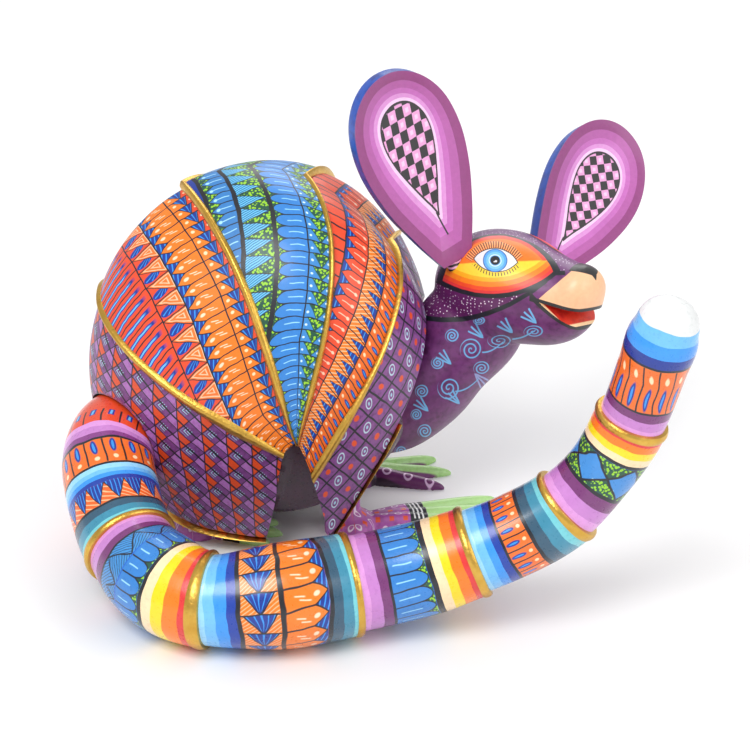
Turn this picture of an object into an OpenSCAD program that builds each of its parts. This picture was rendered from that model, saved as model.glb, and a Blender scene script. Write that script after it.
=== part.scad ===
// Carved and painted armadillo figure: a wooden torso under a shell of five nested plates,
// a head on a thick neck, two ears and a tail that plug into sockets, and four clawed feet.
// Millimetres. +X is towards the head, +Y is the figure's left, +Z is up, and the figure
// stands on Z = 0 with the origin at the middle of its outline seen from above.

/* [Placing] */
// Distance from the origin back to the middle of the body
body_back = 42; // [38:0.2:48]
// Distance from the origin to the middle of the body, towards the figure's left
body_left = 24.4; // [18:0.2:28]

/* [Shell] */
// Half length of the shell
shell_half_length = 66; // [60:1:70]
// Height of the top of the shell above the ground
shell_top = 141; // [135:1:146]
// Height of the widest part of the shell above the ground
shell_middle = 58; // [54:1:62]
// Thickness of each plate of the shell
plate_thickness = 5; // [4:0.5:6]
// Height of a gilded rib above the plate behind it
rib_height = 1.3; // [0.8:0.1:2]

/* [Ears] */
// Length of an ear plate
ear_length = 78; // [70:1:84]
// Widest part of an ear plate
ear_width = 42; // [36:1:46]
// Thickness of an ear plate
ear_thickness = 7.4; // [5:0.2:8]
// Radius of the peg at the foot of an ear
ear_peg_radius = 3.5; // [3:0.25:4]
// Length of the peg at the foot of an ear
ear_peg_length = 11; // [9:1:12]

/* [Tail] */
// Radius of the tail where it meets the body
tail_root_radius = 17.5; // [16:0.5:18]
// Radius of the peg at the root of the tail
tail_peg_radius = 6; // [5:0.5:7]
// Length of the peg at the root of the tail
tail_peg_length = 16; // [12:1:18]
// Height of a gilded ring above the neck of the tail it sits in
ring_height = 0.3; // [0.2:0.1:0.8]

/* [Hidden] */

// Room round a peg in its socket, and round a carved end that sits in a pocket.
peg_clearance = 0.05;
seat_gap = 0.3;
socket_extra_depth = 1;

// ---- Curves ----

// A smooth curve through the rows of a list; u counts rows.
function smooth_row(rows, u) =
    let (
        last = len(rows) - 1,
        i = max(0, min(floor(u), last - 1)),
        t = u - i,
        before = rows[max(i - 1, 0)],
        here = rows[i],
        next = rows[i + 1],
        after = rows[min(i + 2, last)]
    )
    0.5 * (2 * here + (next - before) * t
        + (2 * before - 5 * here + 4 * next - after) * t * t
        + (3 * here - before - 3 * next + after) * t * t * t);

function blend(a, b, t) = a + (b - a) * t;

function ease(t) = t * t * (3 - 2 * t);

// ---- Closed skins over rings of points ----

// A solid over a list of rings with the same count of points; each ring runs
// anticlockwise seen from the end of the list, and the two end rings are closed flat.
module skin(rings) {
    count = len(rings[0]);
    last = len(rings) - 1;
    sides = [
        for (i = [0 : last - 1], j = [0 : count - 1])
            let (k = (j + 1) % count, a = i * count, b = a + count)
            each [[a + j, b + k, a + k], [a + j, b + j, b + k]]
    ];
    ends = [
        [for (j = [0 : count - 1]) j],
        [for (j = [count - 1 : -1 : 0]) last * count + j]
    ];
    polyhedron(points = [for (ring = rings) each ring], faces = concat(sides, ends), convexity = 6);
}

// ---- Shell ----

// The lines that run from side to side over the shell, from the rear rim to the front
// edge. Each row: angle of the crown point, forward and height of the side point,
// half width there, and how far the line bows forward and up between them.
shell_lines = [
    [228, 4, 7, 42, 0, 0],
    [192, 8, 26, 49, 0, 0],
    [154, 12, 50, 54, -1, -2],
    [113, 17, 56, 55, 12, 0],
    [73, 17.5, 56, 55, 11, 0],
    [41, 22.5, 40, 52, 8, 0],
    [22, 29, 8, 41, 6, -3]
];
rear_rim_line = 0;
rib_lines = [2, 3, 4, 5];
front_edge_line = 6;
shell_fullness = 0.9;
profile_power = 1.98;

// How proud each plate stands of the rear shield.
rear_shield_lift = 0;
rear_orange_lift = 1;
blue_lift = 3;
front_orange_lift = 1.8;
front_shield_lift = 3;

// Half the span of a gilded rib at the crown and the span of a gilded rim, in lines,
// and where the edge of a plate beside a rib lies, in half spans of the rib.
rib_span = 0.028;
rib_span_limit = 0.3;
rib_edge = 1.15;
rim_span = 0.1;
rim_gap = 0.03;
rim_lift = 0.5;

crown_steps = 26;

function signed_power(value, power) = sign(value) * pow(abs(value), power);

belly_depth = shell_middle + 6;

function crown_point(angle, lift) =
    let (up = sin(angle) >= 0 ? shell_top - shell_middle : belly_depth)
    [
        (shell_half_length + lift) * signed_power(cos(angle), 2 / profile_power),
        shell_middle + (up + lift) * signed_power(sin(angle), 2 / profile_power)
    ];

// The point on line u of the shell, v from -1 at the right side to 1 at the left side.
function shell_point(u, v, lift) =
    let (
        line = smooth_row(shell_lines, u),
        crown = crown_point(line[0], lift),
        side = [line[1], line[2]],
        reach = pow(max(cos(90 * v), 0), shell_fullness),
        bow = [line[4], line[5]] * sin(180 * abs(v)),
        flat = side + (crown - side) * reach + bow
    )
    [flat[0], (line[3] + lift) * sin(90 * v), flat[1]];

// Half the span of a rib at v: ribs keep their width as the lines draw together.
function rib_half_span(v) = rib_span / max(pow(cos(90 * v), 0.8), rib_span_limit);

// A piece of the shell from line u_from to line u_to, each moved by a share of a rib,
// between v_from and v_to. rounding adds a bulge across the piece.
module shell_piece(u_from, u_to, shares, lift, steps, rounding = 0, v_from = -1, v_to = 1,
                   v_steps = crown_steps, thickness = plate_thickness) {
    function u_at(s, v) =
        blend(u_from + shares[0] * rib_half_span(v), u_to + shares[1] * rib_half_span(v), s);
    skin([
        for (k = [0 : v_steps])
            let (v = blend(v_from, v_to, k / v_steps))
            concat(
                [for (i = [0 : steps])
                    let (s = i / steps)
                    shell_point(u_at(s, v), v, lift + rounding * sin(180 * s))],
                [for (i = [steps : -1 : 0])
                    shell_point(u_at(i / steps, v), v, -thickness)]
            )
    ]);
}

module place_body() {
    translate([-body_back, body_left, 0]) children();
}

module rear_shield() {
    color("mediumorchid") place_body()
        difference() {
            shell_piece(rear_rim_line, rib_lines[0], [0, -rib_edge], rear_shield_lift, 8);
            tail_recess();
        }
}

module rear_orange_plate() {
    color("darkorange") place_body()
        shell_piece(rib_lines[0], rib_lines[1], [rib_edge, -rib_edge], rear_orange_lift, 5);
}

module middle_blue_plate() {
    color("dodgerblue") place_body()
        shell_piece(rib_lines[1], rib_lines[2], [rib_edge, -rib_edge], blue_lift, 5);
}

module front_orange_plate() {
    color("orangered") place_body()
        shell_piece(rib_lines[2], rib_lines[3], [rib_edge, -rib_edge], front_orange_lift, 5);
}

module front_shield() {
    color("orchid") place_body()
        shell_piece(rib_lines[3], front_edge_line, [rib_edge, 0], front_shield_lift, 6);
}

module gilded_rib(line, lift) {
    color("goldenrod") place_body()
        shell_piece(line, line, [-1, 1], lift, 4, rounding = rib_height);
}

module gilded_rib_1() {
    gilded_rib(rib_lines[0], rear_orange_lift);
}

module gilded_rib_2() {
    gilded_rib(rib_lines[1], blue_lift);
}

module gilded_rib_3() {
    gilded_rib(rib_lines[2], blue_lift);
}

module gilded_rib_4() {
    gilded_rib(rib_lines[3], front_shield_lift);
}

module rear_shield_rim() {
    color("goldenrod") place_body()
        difference() {
            shell_piece(rear_rim_line - rim_span, rear_rim_line - rim_gap, [0, 0],
                rear_shield_lift + rim_lift, 3, rounding = rib_height);
            tail_recess();
        }
}

// The front rims run only over the lowest steps at each side.
rim_steps = 5;
rim_from = 1 - rim_steps * 2 / crown_steps;

module front_shield_rim(side) {
    v = side > 0 ? [rim_from, 1] : [-1, -rim_from];
    shell_piece(front_edge_line + rim_gap, front_edge_line + rim_span, [0, 0],
        front_shield_lift, 3, rounding = rib_height, v_from = v[0], v_to = v[1],
        v_steps = rim_steps);
}

module front_shield_rims() {
    color("goldenrod") place_body()
        for (side = [-1, 1]) front_shield_rim(side);
}

// ---- Torso ----

// The shell's lines, then the chest and the belly, back to the rear rim.
torso_lines = concat(shell_lines, [
    [-30, 27, 12, 42, 4, 0],
    [-85, 16, 8, 42, 0, 0],
    [-132, 4, 7, 42, 0, 0]
]);
torso_inset = 5.7;
torso_side_inset = 11;
torso_side_centre = [17, 33];
torso_side_draw = 0.3;
belly_rise = 7;
torso_steps = 30;
torso_side_steps = 14;

function torso_point(u, v) =
    let (
        line = smooth_row(torso_lines, u),
        crown = crown_point(line[0], -torso_inset - belly_rise * max(-sin(line[0]), 0)),
        side = blend([line[1], line[2]], torso_side_centre, torso_side_draw),
        reach = pow(max(cos(90 * v), 0), shell_fullness),
        bow = [line[4], line[5]] * sin(180 * abs(v)),
        flat = side + (crown - side) * reach + bow
    )
    [flat[0], (line[3] - torso_side_inset) * sin(90 * v), flat[1]];

module torso() {
    color("#3a0a34") place_body()
        difference() {
            skin([
                for (k = [0 : torso_side_steps])
                    let (v = -1 + 2 * k / torso_side_steps)
                    [for (i = [0 : torso_steps - 1])
                        torso_point(i * (len(torso_lines) - 1) / torso_steps, v)]
            ]);
            neck_pocket();
            tail_recess();
            tail_socket();
            for (foot = feet) foot_socket(foot);
        }
}

// ---- Head and neck ----

// Sections of the neck from its root in the torso up into the skull:
// middle [x, y, z], half width and half height.
neck_route = [
    [42, 0, 43, 19, 20],
    [52, 0, 48, 21, 22.5],
    [63, 0, 56, 20.5, 22],
    [74, 0, 67.5, 19, 20],
    [85, -1, 81, 18, 20],
    [93, -2, 94, 14, 15]
];
neck_steps = 12;
neck_points = 20;
neck_pocket_radius = 25.5;
neck_pocket_tilt = 27;
neck_pocket_depth = 60;

function unit(v) = v / norm(v);

function route_direction(route, u, step) =
    let (
        a = smooth_row(route, max(u - step, 0)),
        b = smooth_row(route, min(u + step, len(route) - 1))
    )
    unit([b[0] - a[0], b[1] - a[1], b[2] - a[2]]);

// A ring around row u of a route, half_width across and half_height up and down,
// with its sideways axis kept level.
function route_ring(route, u, half_width, half_height, count) =
    let (
        row = smooth_row(route, u),
        ahead = route_direction(route, u, 0.05),
        side = unit(cross([0, 0, 1], ahead)),
        up = cross(ahead, side)
    )
    [for (j = [0 : count - 1])
        let (a = 360 * j / count)
        [row[0], row[1], row[2]] + side * half_width * cos(a) + up * half_height * sin(a)];

module neck_column() {
    last = len(neck_route) - 1;
    skin([
        for (k = [0 : neck_steps])
            let (u = last * k / neck_steps, row = smooth_row(neck_route, u))
            route_ring(neck_route, u, row[3], row[4], neck_points)
    ]);
}

module neck_pocket() {
    translate([neck_route[0][0], 0, neck_route[0][2]])
        rotate([0, 90 - neck_pocket_tilt, 0])
        translate([0, 0, -seat_gap])
        cylinder(r = neck_pocket_radius, h = neck_pocket_depth, $fn = 96);
}

head_middle = [95, -1, 96];
head_yaw = 42;
head_pitch = 13;
head_roll = 10;

// Sections of the skull and muzzle from back to front: distance ahead of the head's
// middle, half width, height of the top and height of the bottom.
skull_route = [
    [-27, 5, 4, -5],
    [-24, 12, 12, -12],
    [-17, 18.5, 18, -18],
    [-7, 22.5, 21.5, -21],
    [4, 23, 21.5, -22],
    [15, 20.5, 18.5, -22],
    [26, 16, 13.5, -21.5],
    [35, 12.5, 10.5, -18.5],
    [41, 10.5, 9.5, -13],
    [44.5, 7.5, 7, -6],
    [46, 3, 3, -1]
];
skull_steps = 24;
skull_points = 20;

module place_head() {
    translate(head_middle) rotate([-head_roll, -head_pitch, -head_yaw]) children();
}

function skull_ring(u) =
    let (
        row = smooth_row(skull_route, u),
        middle = (row[2] + row[3]) / 2,
        half = (row[2] - row[3]) / 2
    )
    [for (j = [0 : skull_points - 1])
        let (a = 360 * j / skull_points)
        [row[0], row[1] * cos(a), middle + half * sin(a)]];

// The open mouth and the cut in front of the lower jaw, seen from the side:
// distance ahead of the head's middle and height.
mouth_corner = [30, -3.5];
mouth_floor = [39.5, -13.5];
chin_cut = [38, -30];
nose_cut = [53, -30];
mouth_top = [43, -7.5];
mouth_width = 60;

module skull() {
    last = len(skull_route) - 1;
    skin([for (k = [0 : skull_steps]) skull_ring(last * k / skull_steps)]);
}

module mouth_cut() {
    rotate([90, 0, 0])
        linear_extrude(height = mouth_width, center = true)
        polygon([mouth_corner, mouth_floor, chin_cut, nose_cut, [nose_cut[0], mouth_top[1]], mouth_top]);
}

module head() {
    color("#78327a") place_body()
        difference() {
            union() {
                neck_column();
                place_head() skull();
            }
            place_head() mouth_cut();
            ear_socket(right_ear_place);
            ear_socket(left_ear_place);
        }
}

// ---- Ears ----

// Where an ear stands: foot of the plate, then its tilt towards the right side,
// its lean forward and the turn of its painted face.
right_ear_place = [[75.5, -7, 110.8], 4, -21, 26];
left_ear_place = [[112, 14, 96], -49, 44, 0];
ear_outline_start = 40;
ear_outline_power = 1;
ear_outline_points = 48;
ear_peak = 0.77;
ear_peg_base = 3;
ear_socket_height = 18;
ear_seat_gap = 0.4;

function ear_outline(width) =
    let (
        start = ear_outline_start,
        cut = (1 - cos(start)) / 2,
        full = ear_length / (1 - cut)
    )
    [for (i = [0 : ear_outline_points])
        let (a = start + (360 - 2 * start) * i / ear_outline_points)
        [
            width / (2 * ear_peak) * sin(a) * pow(sin(a / 2), ear_outline_power),
            full * ((1 - cos(a)) / 2 - cut)
        ]];

module place_ear(place) {
    translate(place[0]) rotate([place[1], place[2], 0]) children();
}

module ear_peg(radius) {
    translate([0, 0, -ear_peg_length]) cylinder(r = radius, h = ear_peg_length + ear_peg_base, $fn = 48);
}

module ear_plate(turn, width, thickness) {
    rotate([90, 0, turn])
        linear_extrude(height = thickness, center = true)
        polygon(ear_outline(width));
}

module ear(place) {
    place_ear(place) {
        ear_peg(ear_peg_radius);
        ear_plate(place[3], ear_width, ear_thickness);
    }
}

// The slot that the foot of an ear stands in, over the socket of its peg.
module ear_socket(place) {
    place_ear(place) {
        translate([0, 0, -ear_peg_length - socket_extra_depth])
            cylinder(r = ear_peg_radius + peg_clearance, h = ear_peg_length + ear_socket_height, $fn = 48);
        translate([0, 0, -ear_seat_gap])
            ear_plate(place[3], ear_width + 4 * ear_seat_gap, ear_thickness + 2 * ear_seat_gap);
    }
}

module right_ear() {
    color("#c468b8") place_body() ear(right_ear_place);
}

module left_ear() {
    color("#c468b8") place_body() ear(left_ear_place);
}

// ---- Tail ----

// Route of the tail from its seat in the body round the front to its raised tip:
// [x, y, z] and the radius as a share of the root's.
tail_route = [
    [-44, -4, 43, 1],
    [-49, -17, 43, 1],
    [-54, -30, 43, 1],
    [-55, -43, 39.5, 0.99],
    [-51, -59, 32, 0.97],
    [-44, -76, 23.5, 0.97],
    [-32, -93, 19.5, 1.03],
    [-14, -105, 18, 0.96],
    [12, -105, 19.5, 1.08],
    [37, -98, 20, 1.03],
    [60, -94, 23.5, 0.99],
    [81, -92, 30, 0.91],
    [99, -91, 38, 0.86],
    [114, -91, 48.5, 0.79],
    [126.5, -91, 64, 0.71],
    [135.5, -92, 83, 0.72],
    [141, -95, 104, 0.7],
    [144.5, -98, 120, 0.64],
    [147, -100, 131, 0]
];
tail_points = 16;
tail_last = len(tail_route) - 1;
tail_cap_start = tail_last - 1;
tail_lip = 0.6;
tail_tip_flat = 0.4;
tail_row_steps = 3;
tail_cap_steps = 5;
tail_peg_base = 4;
tail_recess_room = 1.9;
tail_recess_depth = 48;

// Rows of the route that carry a gilded ring, and half the width of a ring.
ring_rows = [5, 7, 9, 11, 13, 15];
ring_half_width = 1.6;
ring_side_gap = 0.005;
ring_bore_gap = 0.2;
groove_wall = 0.001;

// Section of a gilded ring: share of its half width along the tail, and height
// against the crown of the ring.
ring_section = [[-1, -0.3], [-0.6, 0], [0, 0], [0.6, -0.3], [1, -0.9]];
ring_least_depth = 0.3;

// Millimetres along the tail for one row of its route, at row u.
function row_pace(u) =
    let (step = 0.1, a = smooth_row(tail_route, u - step), b = smooth_row(tail_route, u + step))
    norm([b[0] - a[0], b[1] - a[1], b[2] - a[2]]) / (2 * step);

function ring_half_rows(row) = ring_half_width / row_pace(row);

// Share of the way from the last gilded ring to the next one, 0 just after a ring
// and 1 just before the next.
function swell(u) =
    let (
        before = max([0, for (row = ring_rows) if (row < u) row]),
        after = min([tail_last, for (row = ring_rows) if (row >= u) row])
    )
    (u - before) / (after - before);

function tail_body_radius(u) =
    smooth_row(tail_route, min(u, tail_cap_start))[3] * tail_root_radius;

// The tip of the tail is rounded off.
function tail_cap_radius(u) =
    let (along = (u - tail_cap_start) / (tail_last - tail_cap_start))
    max(tail_body_radius(u) * sqrt(max(1 - along * along, 0)), tail_tip_flat);

// The tail narrows just after each ring and swells to a lip before the next.
first_lip_row = ring_rows[0] - 2;

function tail_radius(u) =
    u > tail_cap_start ? tail_cap_radius(u)
    : tail_body_radius(u) + (u > first_lip_row ? tail_lip * (2 * ease(swell(u)) - 1) : 0);

function tail_ring(u, radius) = route_ring(tail_route, u, radius, radius, tail_points);

function groove_radius(row) = tail_body_radius(row) - tail_lip;

function has_ring(row) = len([for (r = ring_rows) if (r == row) r]) > 0;

// Stations [u, radius] of the groove that a gilded ring sits in.
function groove_stations(row) =
    let (half = ring_half_rows(row))
    [
        [row - half, tail_radius(row - half)],
        [row - half + groove_wall, groove_radius(row)],
        [row + half - groove_wall, groove_radius(row)],
        [row + half, tail_radius(row + half)]
    ];

tail_stations = [
    for (row = [0 : tail_cap_start - 1])
        each concat(
            has_ring(row) ? groove_stations(row) : [[row, tail_radius(row)]],
            [for (k = [1 : tail_row_steps - 1])
                let (u = row + k / tail_row_steps)
                [u, tail_radius(u)]]
        ),
    for (k = [0 : tail_cap_steps])
        let (u = tail_cap_start + (tail_last - tail_cap_start) * sin(90 * k / tail_cap_steps))
        [u, tail_radius(u)]
];

tail_pull = [tail_route[1][0] - tail_route[0][0], tail_route[1][1] - tail_route[0][1]];
tail_pull_turn = atan2(tail_pull[0], -tail_pull[1]);

module place_tail_peg() {
    translate([tail_route[0][0], tail_route[0][1], tail_route[0][2]])
        rotate([90, 0, tail_pull_turn])
        children();
}

module tail() {
    color("deepskyblue") place_body() {
        skin([for (station = tail_stations) tail_ring(station[0], station[1])]);
        place_tail_peg()
            translate([0, 0, -tail_peg_length])
            cylinder(r = tail_peg_radius, h = tail_peg_length + tail_peg_base, $fn = 64);
    }
}

// A closed band round the tail: the rings in bands run round its section.
module tail_band(bands) {
    count = len(bands);
    polyhedron(
        points = [for (band = bands) each band],
        faces = [
            for (i = [0 : count - 1], j = [0 : tail_points - 1])
                let (
                    k = (j + 1) % tail_points,
                    a = i * tail_points,
                    b = ((i + 1) % count) * tail_points
                )
                each [[a + j, b + k, a + k], [a + j, b + j, b + k]]
        ],
        convexity = 6
    );
}

module tail_gilded_ring(row) {
    half = ring_half_rows(row) - ring_side_gap;
    bore = groove_radius(row) + ring_bore_gap;
    crown = max(tail_radius(row - half), tail_radius(row + half)) + ring_height;
    outside = [
        for (s = ring_section)
            tail_ring(row + s[0] * half, max(crown + s[1], bore + ring_least_depth))
    ];
    tail_band(concat(outside, [tail_ring(row + half, bore), tail_ring(row - half, bore)]));
}

module tail_gilded_rings() {
    color("gold") place_body()
        for (row = ring_rows) tail_gilded_ring(row);
}

module tail_recess() {
    place_tail_peg()
        translate([0, 0, -seat_gap])
        cylinder(r = tail_root_radius + tail_recess_room, h = tail_recess_depth, $fn = 96);
}

module tail_socket() {
    place_tail_peg()
        translate([0, 0, -tail_peg_length - socket_extra_depth])
        cylinder(r = tail_peg_radius + peg_clearance, h = tail_peg_length + tail_peg_base, $fn = 64);
}

// ---- Feet ----

// Each foot: ankle [x, y], direction of the middle toe, toe length, spread of the toes.
right_front_foot_place = [[36, -22], 14, 68, 9];
left_front_foot_place = [[38, 21], 6, 40, 20];
right_hind_foot_place = [[-24, -22], -8, 34, 16];
left_hind_foot_place = [[-24, 22], 12, 34, 16];
feet = [right_front_foot_place, left_front_foot_place, right_hind_foot_place, left_hind_foot_place];
foot_peg_radius = 4;
foot_peg_top = 26;
palm_radius = 10;
palm_height = 7;
palm_pocket_radius = 11;
palm_pocket_top = 9.3;
toes = [-1, 0, 1];
outer_toe_share = 0.94;

// Sections of a toe, a flat-soled finger that ends in a point: share of its length,
// half width and height.
toe_profile = [[0, 3, 6], [0.3, 4.2, 6.5], [0.5, 3.6, 5.6], [0.8, 2.9, 4], [0.95, 1.6, 2.4], [1, 0.5, 1]];
toe_arc_points = 8;

module toe(length) {
    skin([
        for (section = toe_profile)
            [for (j = [0 : toe_arc_points])
                let (a = 180 * j / toe_arc_points)
                [section[0] * length, section[1] * cos(a), section[2] * sin(a)]]
    ]);
}

module palm() {
    cylinder(r = palm_radius, h = palm_height, $fn = 48);
}

module foot(place) {
    translate([place[0][0], place[0][1], 0]) {
        palm();
        cylinder(r = foot_peg_radius, h = foot_peg_top, $fn = 48);
        for (toe_number = toes)
            rotate([0, 0, place[1] + toe_number * place[3]])
            toe(place[2] * (toe_number == 0 ? 1 : outer_toe_share));
    }
}

module foot_socket(place) {
    translate([place[0][0], place[0][1], 0]) {
        cylinder(r = foot_peg_radius + peg_clearance, h = foot_peg_top + socket_extra_depth, $fn = 48);
        cylinder(r = palm_pocket_radius, h = palm_pocket_top, $fn = 48);
    }
}

module right_front_foot() {
    color("mediumorchid") place_body() foot(right_front_foot_place);
}

module left_front_foot() {
    color("yellowgreen") place_body() foot(left_front_foot_place);
}

module right_hind_foot() {
    color("mediumorchid") place_body() foot(right_hind_foot_place);
}

module left_hind_foot() {
    color("mediumorchid") place_body() foot(left_hind_foot_place);
}

torso();
rear_shield();
rear_orange_plate();
middle_blue_plate();
front_orange_plate();
front_shield();
gilded_rib_1();
gilded_rib_2();
gilded_rib_3();
gilded_rib_4();
rear_shield_rim();
front_shield_rims();
head();
right_ear();
left_ear();
tail();
tail_gilded_rings();
right_front_foot();
left_front_foot();
right_hind_foot();
left_hind_foot();
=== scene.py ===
"""Looks of a carved and painted armadillo figure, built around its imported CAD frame.

Lengths in the shapes below are millimetres in the body's own axes: x forward, y to the
figure's left, z up, from a point on the ground below the middle of the body. placed()
turns such a point into metres in the row frame.
"""

import math

import bmesh
import bpy
from mathutils import Matrix, Vector, noise


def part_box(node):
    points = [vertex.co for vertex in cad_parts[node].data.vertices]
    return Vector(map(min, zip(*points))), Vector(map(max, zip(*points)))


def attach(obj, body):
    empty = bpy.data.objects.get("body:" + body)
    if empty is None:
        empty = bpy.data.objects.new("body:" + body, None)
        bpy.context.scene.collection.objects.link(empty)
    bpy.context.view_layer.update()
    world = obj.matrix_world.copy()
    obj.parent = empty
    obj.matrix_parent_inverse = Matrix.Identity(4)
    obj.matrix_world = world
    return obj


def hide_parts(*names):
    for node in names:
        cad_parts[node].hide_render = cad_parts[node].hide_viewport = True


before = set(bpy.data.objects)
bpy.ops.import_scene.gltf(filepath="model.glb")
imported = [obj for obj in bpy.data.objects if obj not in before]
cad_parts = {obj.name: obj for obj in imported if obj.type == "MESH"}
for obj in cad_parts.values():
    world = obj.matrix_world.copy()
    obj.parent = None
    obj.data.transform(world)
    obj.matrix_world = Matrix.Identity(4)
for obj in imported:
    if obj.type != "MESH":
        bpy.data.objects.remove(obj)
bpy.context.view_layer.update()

MM = 0.001
PALM_RADIUS = 10
NEAR_ANKLE = (36, -22)

near_foot_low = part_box("right_front_foot")[0]
torso_low, torso_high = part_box("torso")
body_origin = Vector((
    near_foot_low.x - (NEAR_ANKLE[0] - PALM_RADIUS) * MM,
    (torso_low.y + torso_high.y) / 2,
    0,
))


def placed(point):
    return body_origin + Vector(point) * MM


# ---- Curves ----

def lerp(a, b, t):
    return a + (b - a) * t


def ease(t):
    return t * t * (3 - 2 * t)


def smooth_row(rows, u):
    """A smooth curve through the rows of a list; u counts rows."""
    last = len(rows) - 1
    i = max(0, min(math.floor(u), last - 1))
    t = u - i
    before, here, after, beyond = rows[max(i - 1, 0)], rows[i], rows[i + 1], rows[min(i + 2, last)]
    return [
        0.5 * (2 * b + (c - a) * t + (2 * a - 5 * b + 4 * c - d) * t * t + (3 * b - a - 3 * c + d) * t ** 3)
        for a, b, c, d in zip(before, here, after, beyond)
    ]


# ---- Solids: points, faces and the painting coordinates of each point ----

class Solid:
    def __init__(self):
        self.points = []
        self.faces = []
        self.paints = []
        self.kinds = []

    def loft(self, rings, paints, kind=lambda i, j: 0):
        """Skins over closed rings of points with the same count, and closes both ends."""
        start = len(self.points)
        count = len(rings[0])
        for ring, colours in zip(rings, paints):
            self.points.extend(Vector(p) for p in ring)
            self.paints.extend(colours)
        for i in range(len(rings) - 1):
            for j in range(count):
                a, b = start + i * count, start + (i + 1) * count
                k = (j + 1) % count
                self.faces.append((a + j, b + j, b + k, a + k))
                self.kinds.append(kind(i, j))
        last = start + (len(rings) - 1) * count
        self.faces.append(tuple(start + j for j in range(count)))
        self.faces.append(tuple(last + j for j in reversed(range(count))))
        self.kinds.extend((kind(0, 0), kind(len(rings) - 2, 0)))
        return self

    def add(self, other):
        """Takes in the points and faces of another solid."""
        start = len(self.points)
        self.points += other.points
        self.paints += other.paints
        self.kinds += other.kinds
        self.faces += [tuple(start + i for i in face) for face in other.faces]
        return self


def paint_attribute(mesh):
    return mesh.attributes.get("paint") or mesh.attributes.new("paint", "FLOAT_VECTOR", "POINT")


def set_paint(mesh, values):
    flat = [number for value in values for number in value]
    paint_attribute(mesh).data.foreach_set("vector", flat)


# The knife leaves the wood a little uneven; neighbours share the same unevenness.
CARVING_SIZE = 15
CARVING_DEPTH = 0.22


def carved(point):
    return point + noise.noise_vector(point / CARVING_SIZE) * CARVING_DEPTH


def make_object(name, solid, uneven=True):
    mesh = bpy.data.meshes.new(name)
    points = [placed(carved(p) if uneven else p) for p in solid.points]
    mesh.from_pydata(points, [], solid.faces)
    set_paint(mesh, solid.paints)
    mesh.polygons.foreach_set("material_index", solid.kinds)
    work = bmesh.new()
    work.from_mesh(mesh)
    bmesh.ops.recalc_face_normals(work, faces=work.faces)
    work.to_mesh(mesh)
    work.free()
    piece = bpy.data.objects.new(name, mesh)
    bpy.context.scene.collection.objects.link(piece)
    return piece


SHARP_ANGLE = math.radians(42)


def finish_piece(piece, materials, body, nodes):
    mesh = piece.data
    for material in materials:
        mesh.materials.append(material)
    mesh.polygons.foreach_set("use_smooth", [True] * len(mesh.polygons))
    mesh.set_sharp_from_angle(angle=SHARP_ANGLE)
    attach(piece, body)
    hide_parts(*nodes)
    return piece


def apply_modifiers(piece):
    bpy.context.view_layer.update()
    evaluated = piece.evaluated_get(bpy.context.evaluated_depsgraph_get())
    mesh = bpy.data.meshes.new_from_object(evaluated)
    piece.modifiers.clear()
    piece.data = mesh


def cut_away(piece, cutters):
    """Takes the cutters out of the piece; the new faces keep the cutter's painting coordinates."""
    for cutter in cutters:
        modifier = piece.modifiers.new("cut", "BOOLEAN")
        modifier.operation = "DIFFERENCE"
        modifier.solver = "EXACT"
        modifier.object = cutter
    apply_modifiers(piece)
    for cutter in cutters:
        bpy.data.objects.remove(cutter)


def rod(name, foot, turn, radius, low, high, paint=(0, 0, 0), points=64):
    """A round peg or cutter along the local z axis of a place."""
    rings = []
    for z in (low, high):
        ring = []
        for j in range(points):
            angle = math.tau * j / points
            local = Vector((radius * math.cos(angle), radius * math.sin(angle), z))
            ring.append(Vector(foot) + turn @ local)
        rings.append(ring)
    return make_object(name, Solid().loft(rings, [[paint] * points] * 2), uneven=False)


# ---- Shell ----

HALF_LENGTH = 66
SHELL_TOP = 141
SHELL_MIDDLE = 58
BELLY_DEPTH = SHELL_MIDDLE + 6
PLATE_THICKNESS = 5
FULLNESS = 0.9
PROFILE_POWER = 1.98

# Lines over the shell from the rear rim to the front edge: angle of the crown point,
# forward and height of the side point, half width there, bow forward and up between.
SHELL_LINES = [
    (228, 4, 7, 42, 0, 0),
    (192, 8, 26, 49, 0, 0),
    (154, 12, 50, 54, -1, -2),
    (113, 17, 56, 55, 12, 0),
    (73, 17.5, 56, 55, 11, 0),
    (41, 22.5, 40, 52, 8, 0),
    (22, 29, 8, 41, 6, -3),
]
RIB_LINES = [2, 3, 4, 5]
FRONT_LINE = 6
RIB_SPAN = 0.028
RIB_SPAN_LIMIT = 0.3
RIM_SPAN = 0.1
RIM_GAP = 0.02
# The front rim starts at this share of the way from the crown to either side.
FRONT_RIM_FROM = 1 - 10 / 26
PLATE_SEAT = 0.75


def signed_power(value, power):
    return math.copysign(abs(value) ** power, value)


def crown_point(angle, lift):
    turn = math.radians(angle)
    up = SHELL_TOP - SHELL_MIDDLE if math.sin(turn) >= 0 else BELLY_DEPTH
    return (
        (HALF_LENGTH + lift) * signed_power(math.cos(turn), 2 / PROFILE_POWER),
        SHELL_MIDDLE + (up + lift) * signed_power(math.sin(turn), 2 / PROFILE_POWER),
    )


def shell_point(u, v, lift):
    """The point on line u of the shell, v from -1 at the right side to 1 at the left side."""
    angle, side_x, side_z, half_width, bow_x, bow_z = smooth_row(SHELL_LINES, u)
    crown_x, crown_z = crown_point(angle, lift)
    reach = max(math.cos(math.pi / 2 * v), 0) ** FULLNESS
    bow = math.sin(math.pi * abs(v))
    return Vector((
        lerp(side_x, crown_x, reach) + bow_x * bow,
        (half_width + lift) * math.sin(math.pi / 2 * v),
        lerp(side_z, crown_z, reach) + bow_z * bow,
    ))


def rib_half_span(v):
    reach = max(math.cos(math.pi / 2 * v), 0) ** 0.8
    return RIB_SPAN / max(reach, RIB_SPAN_LIMIT)


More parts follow.
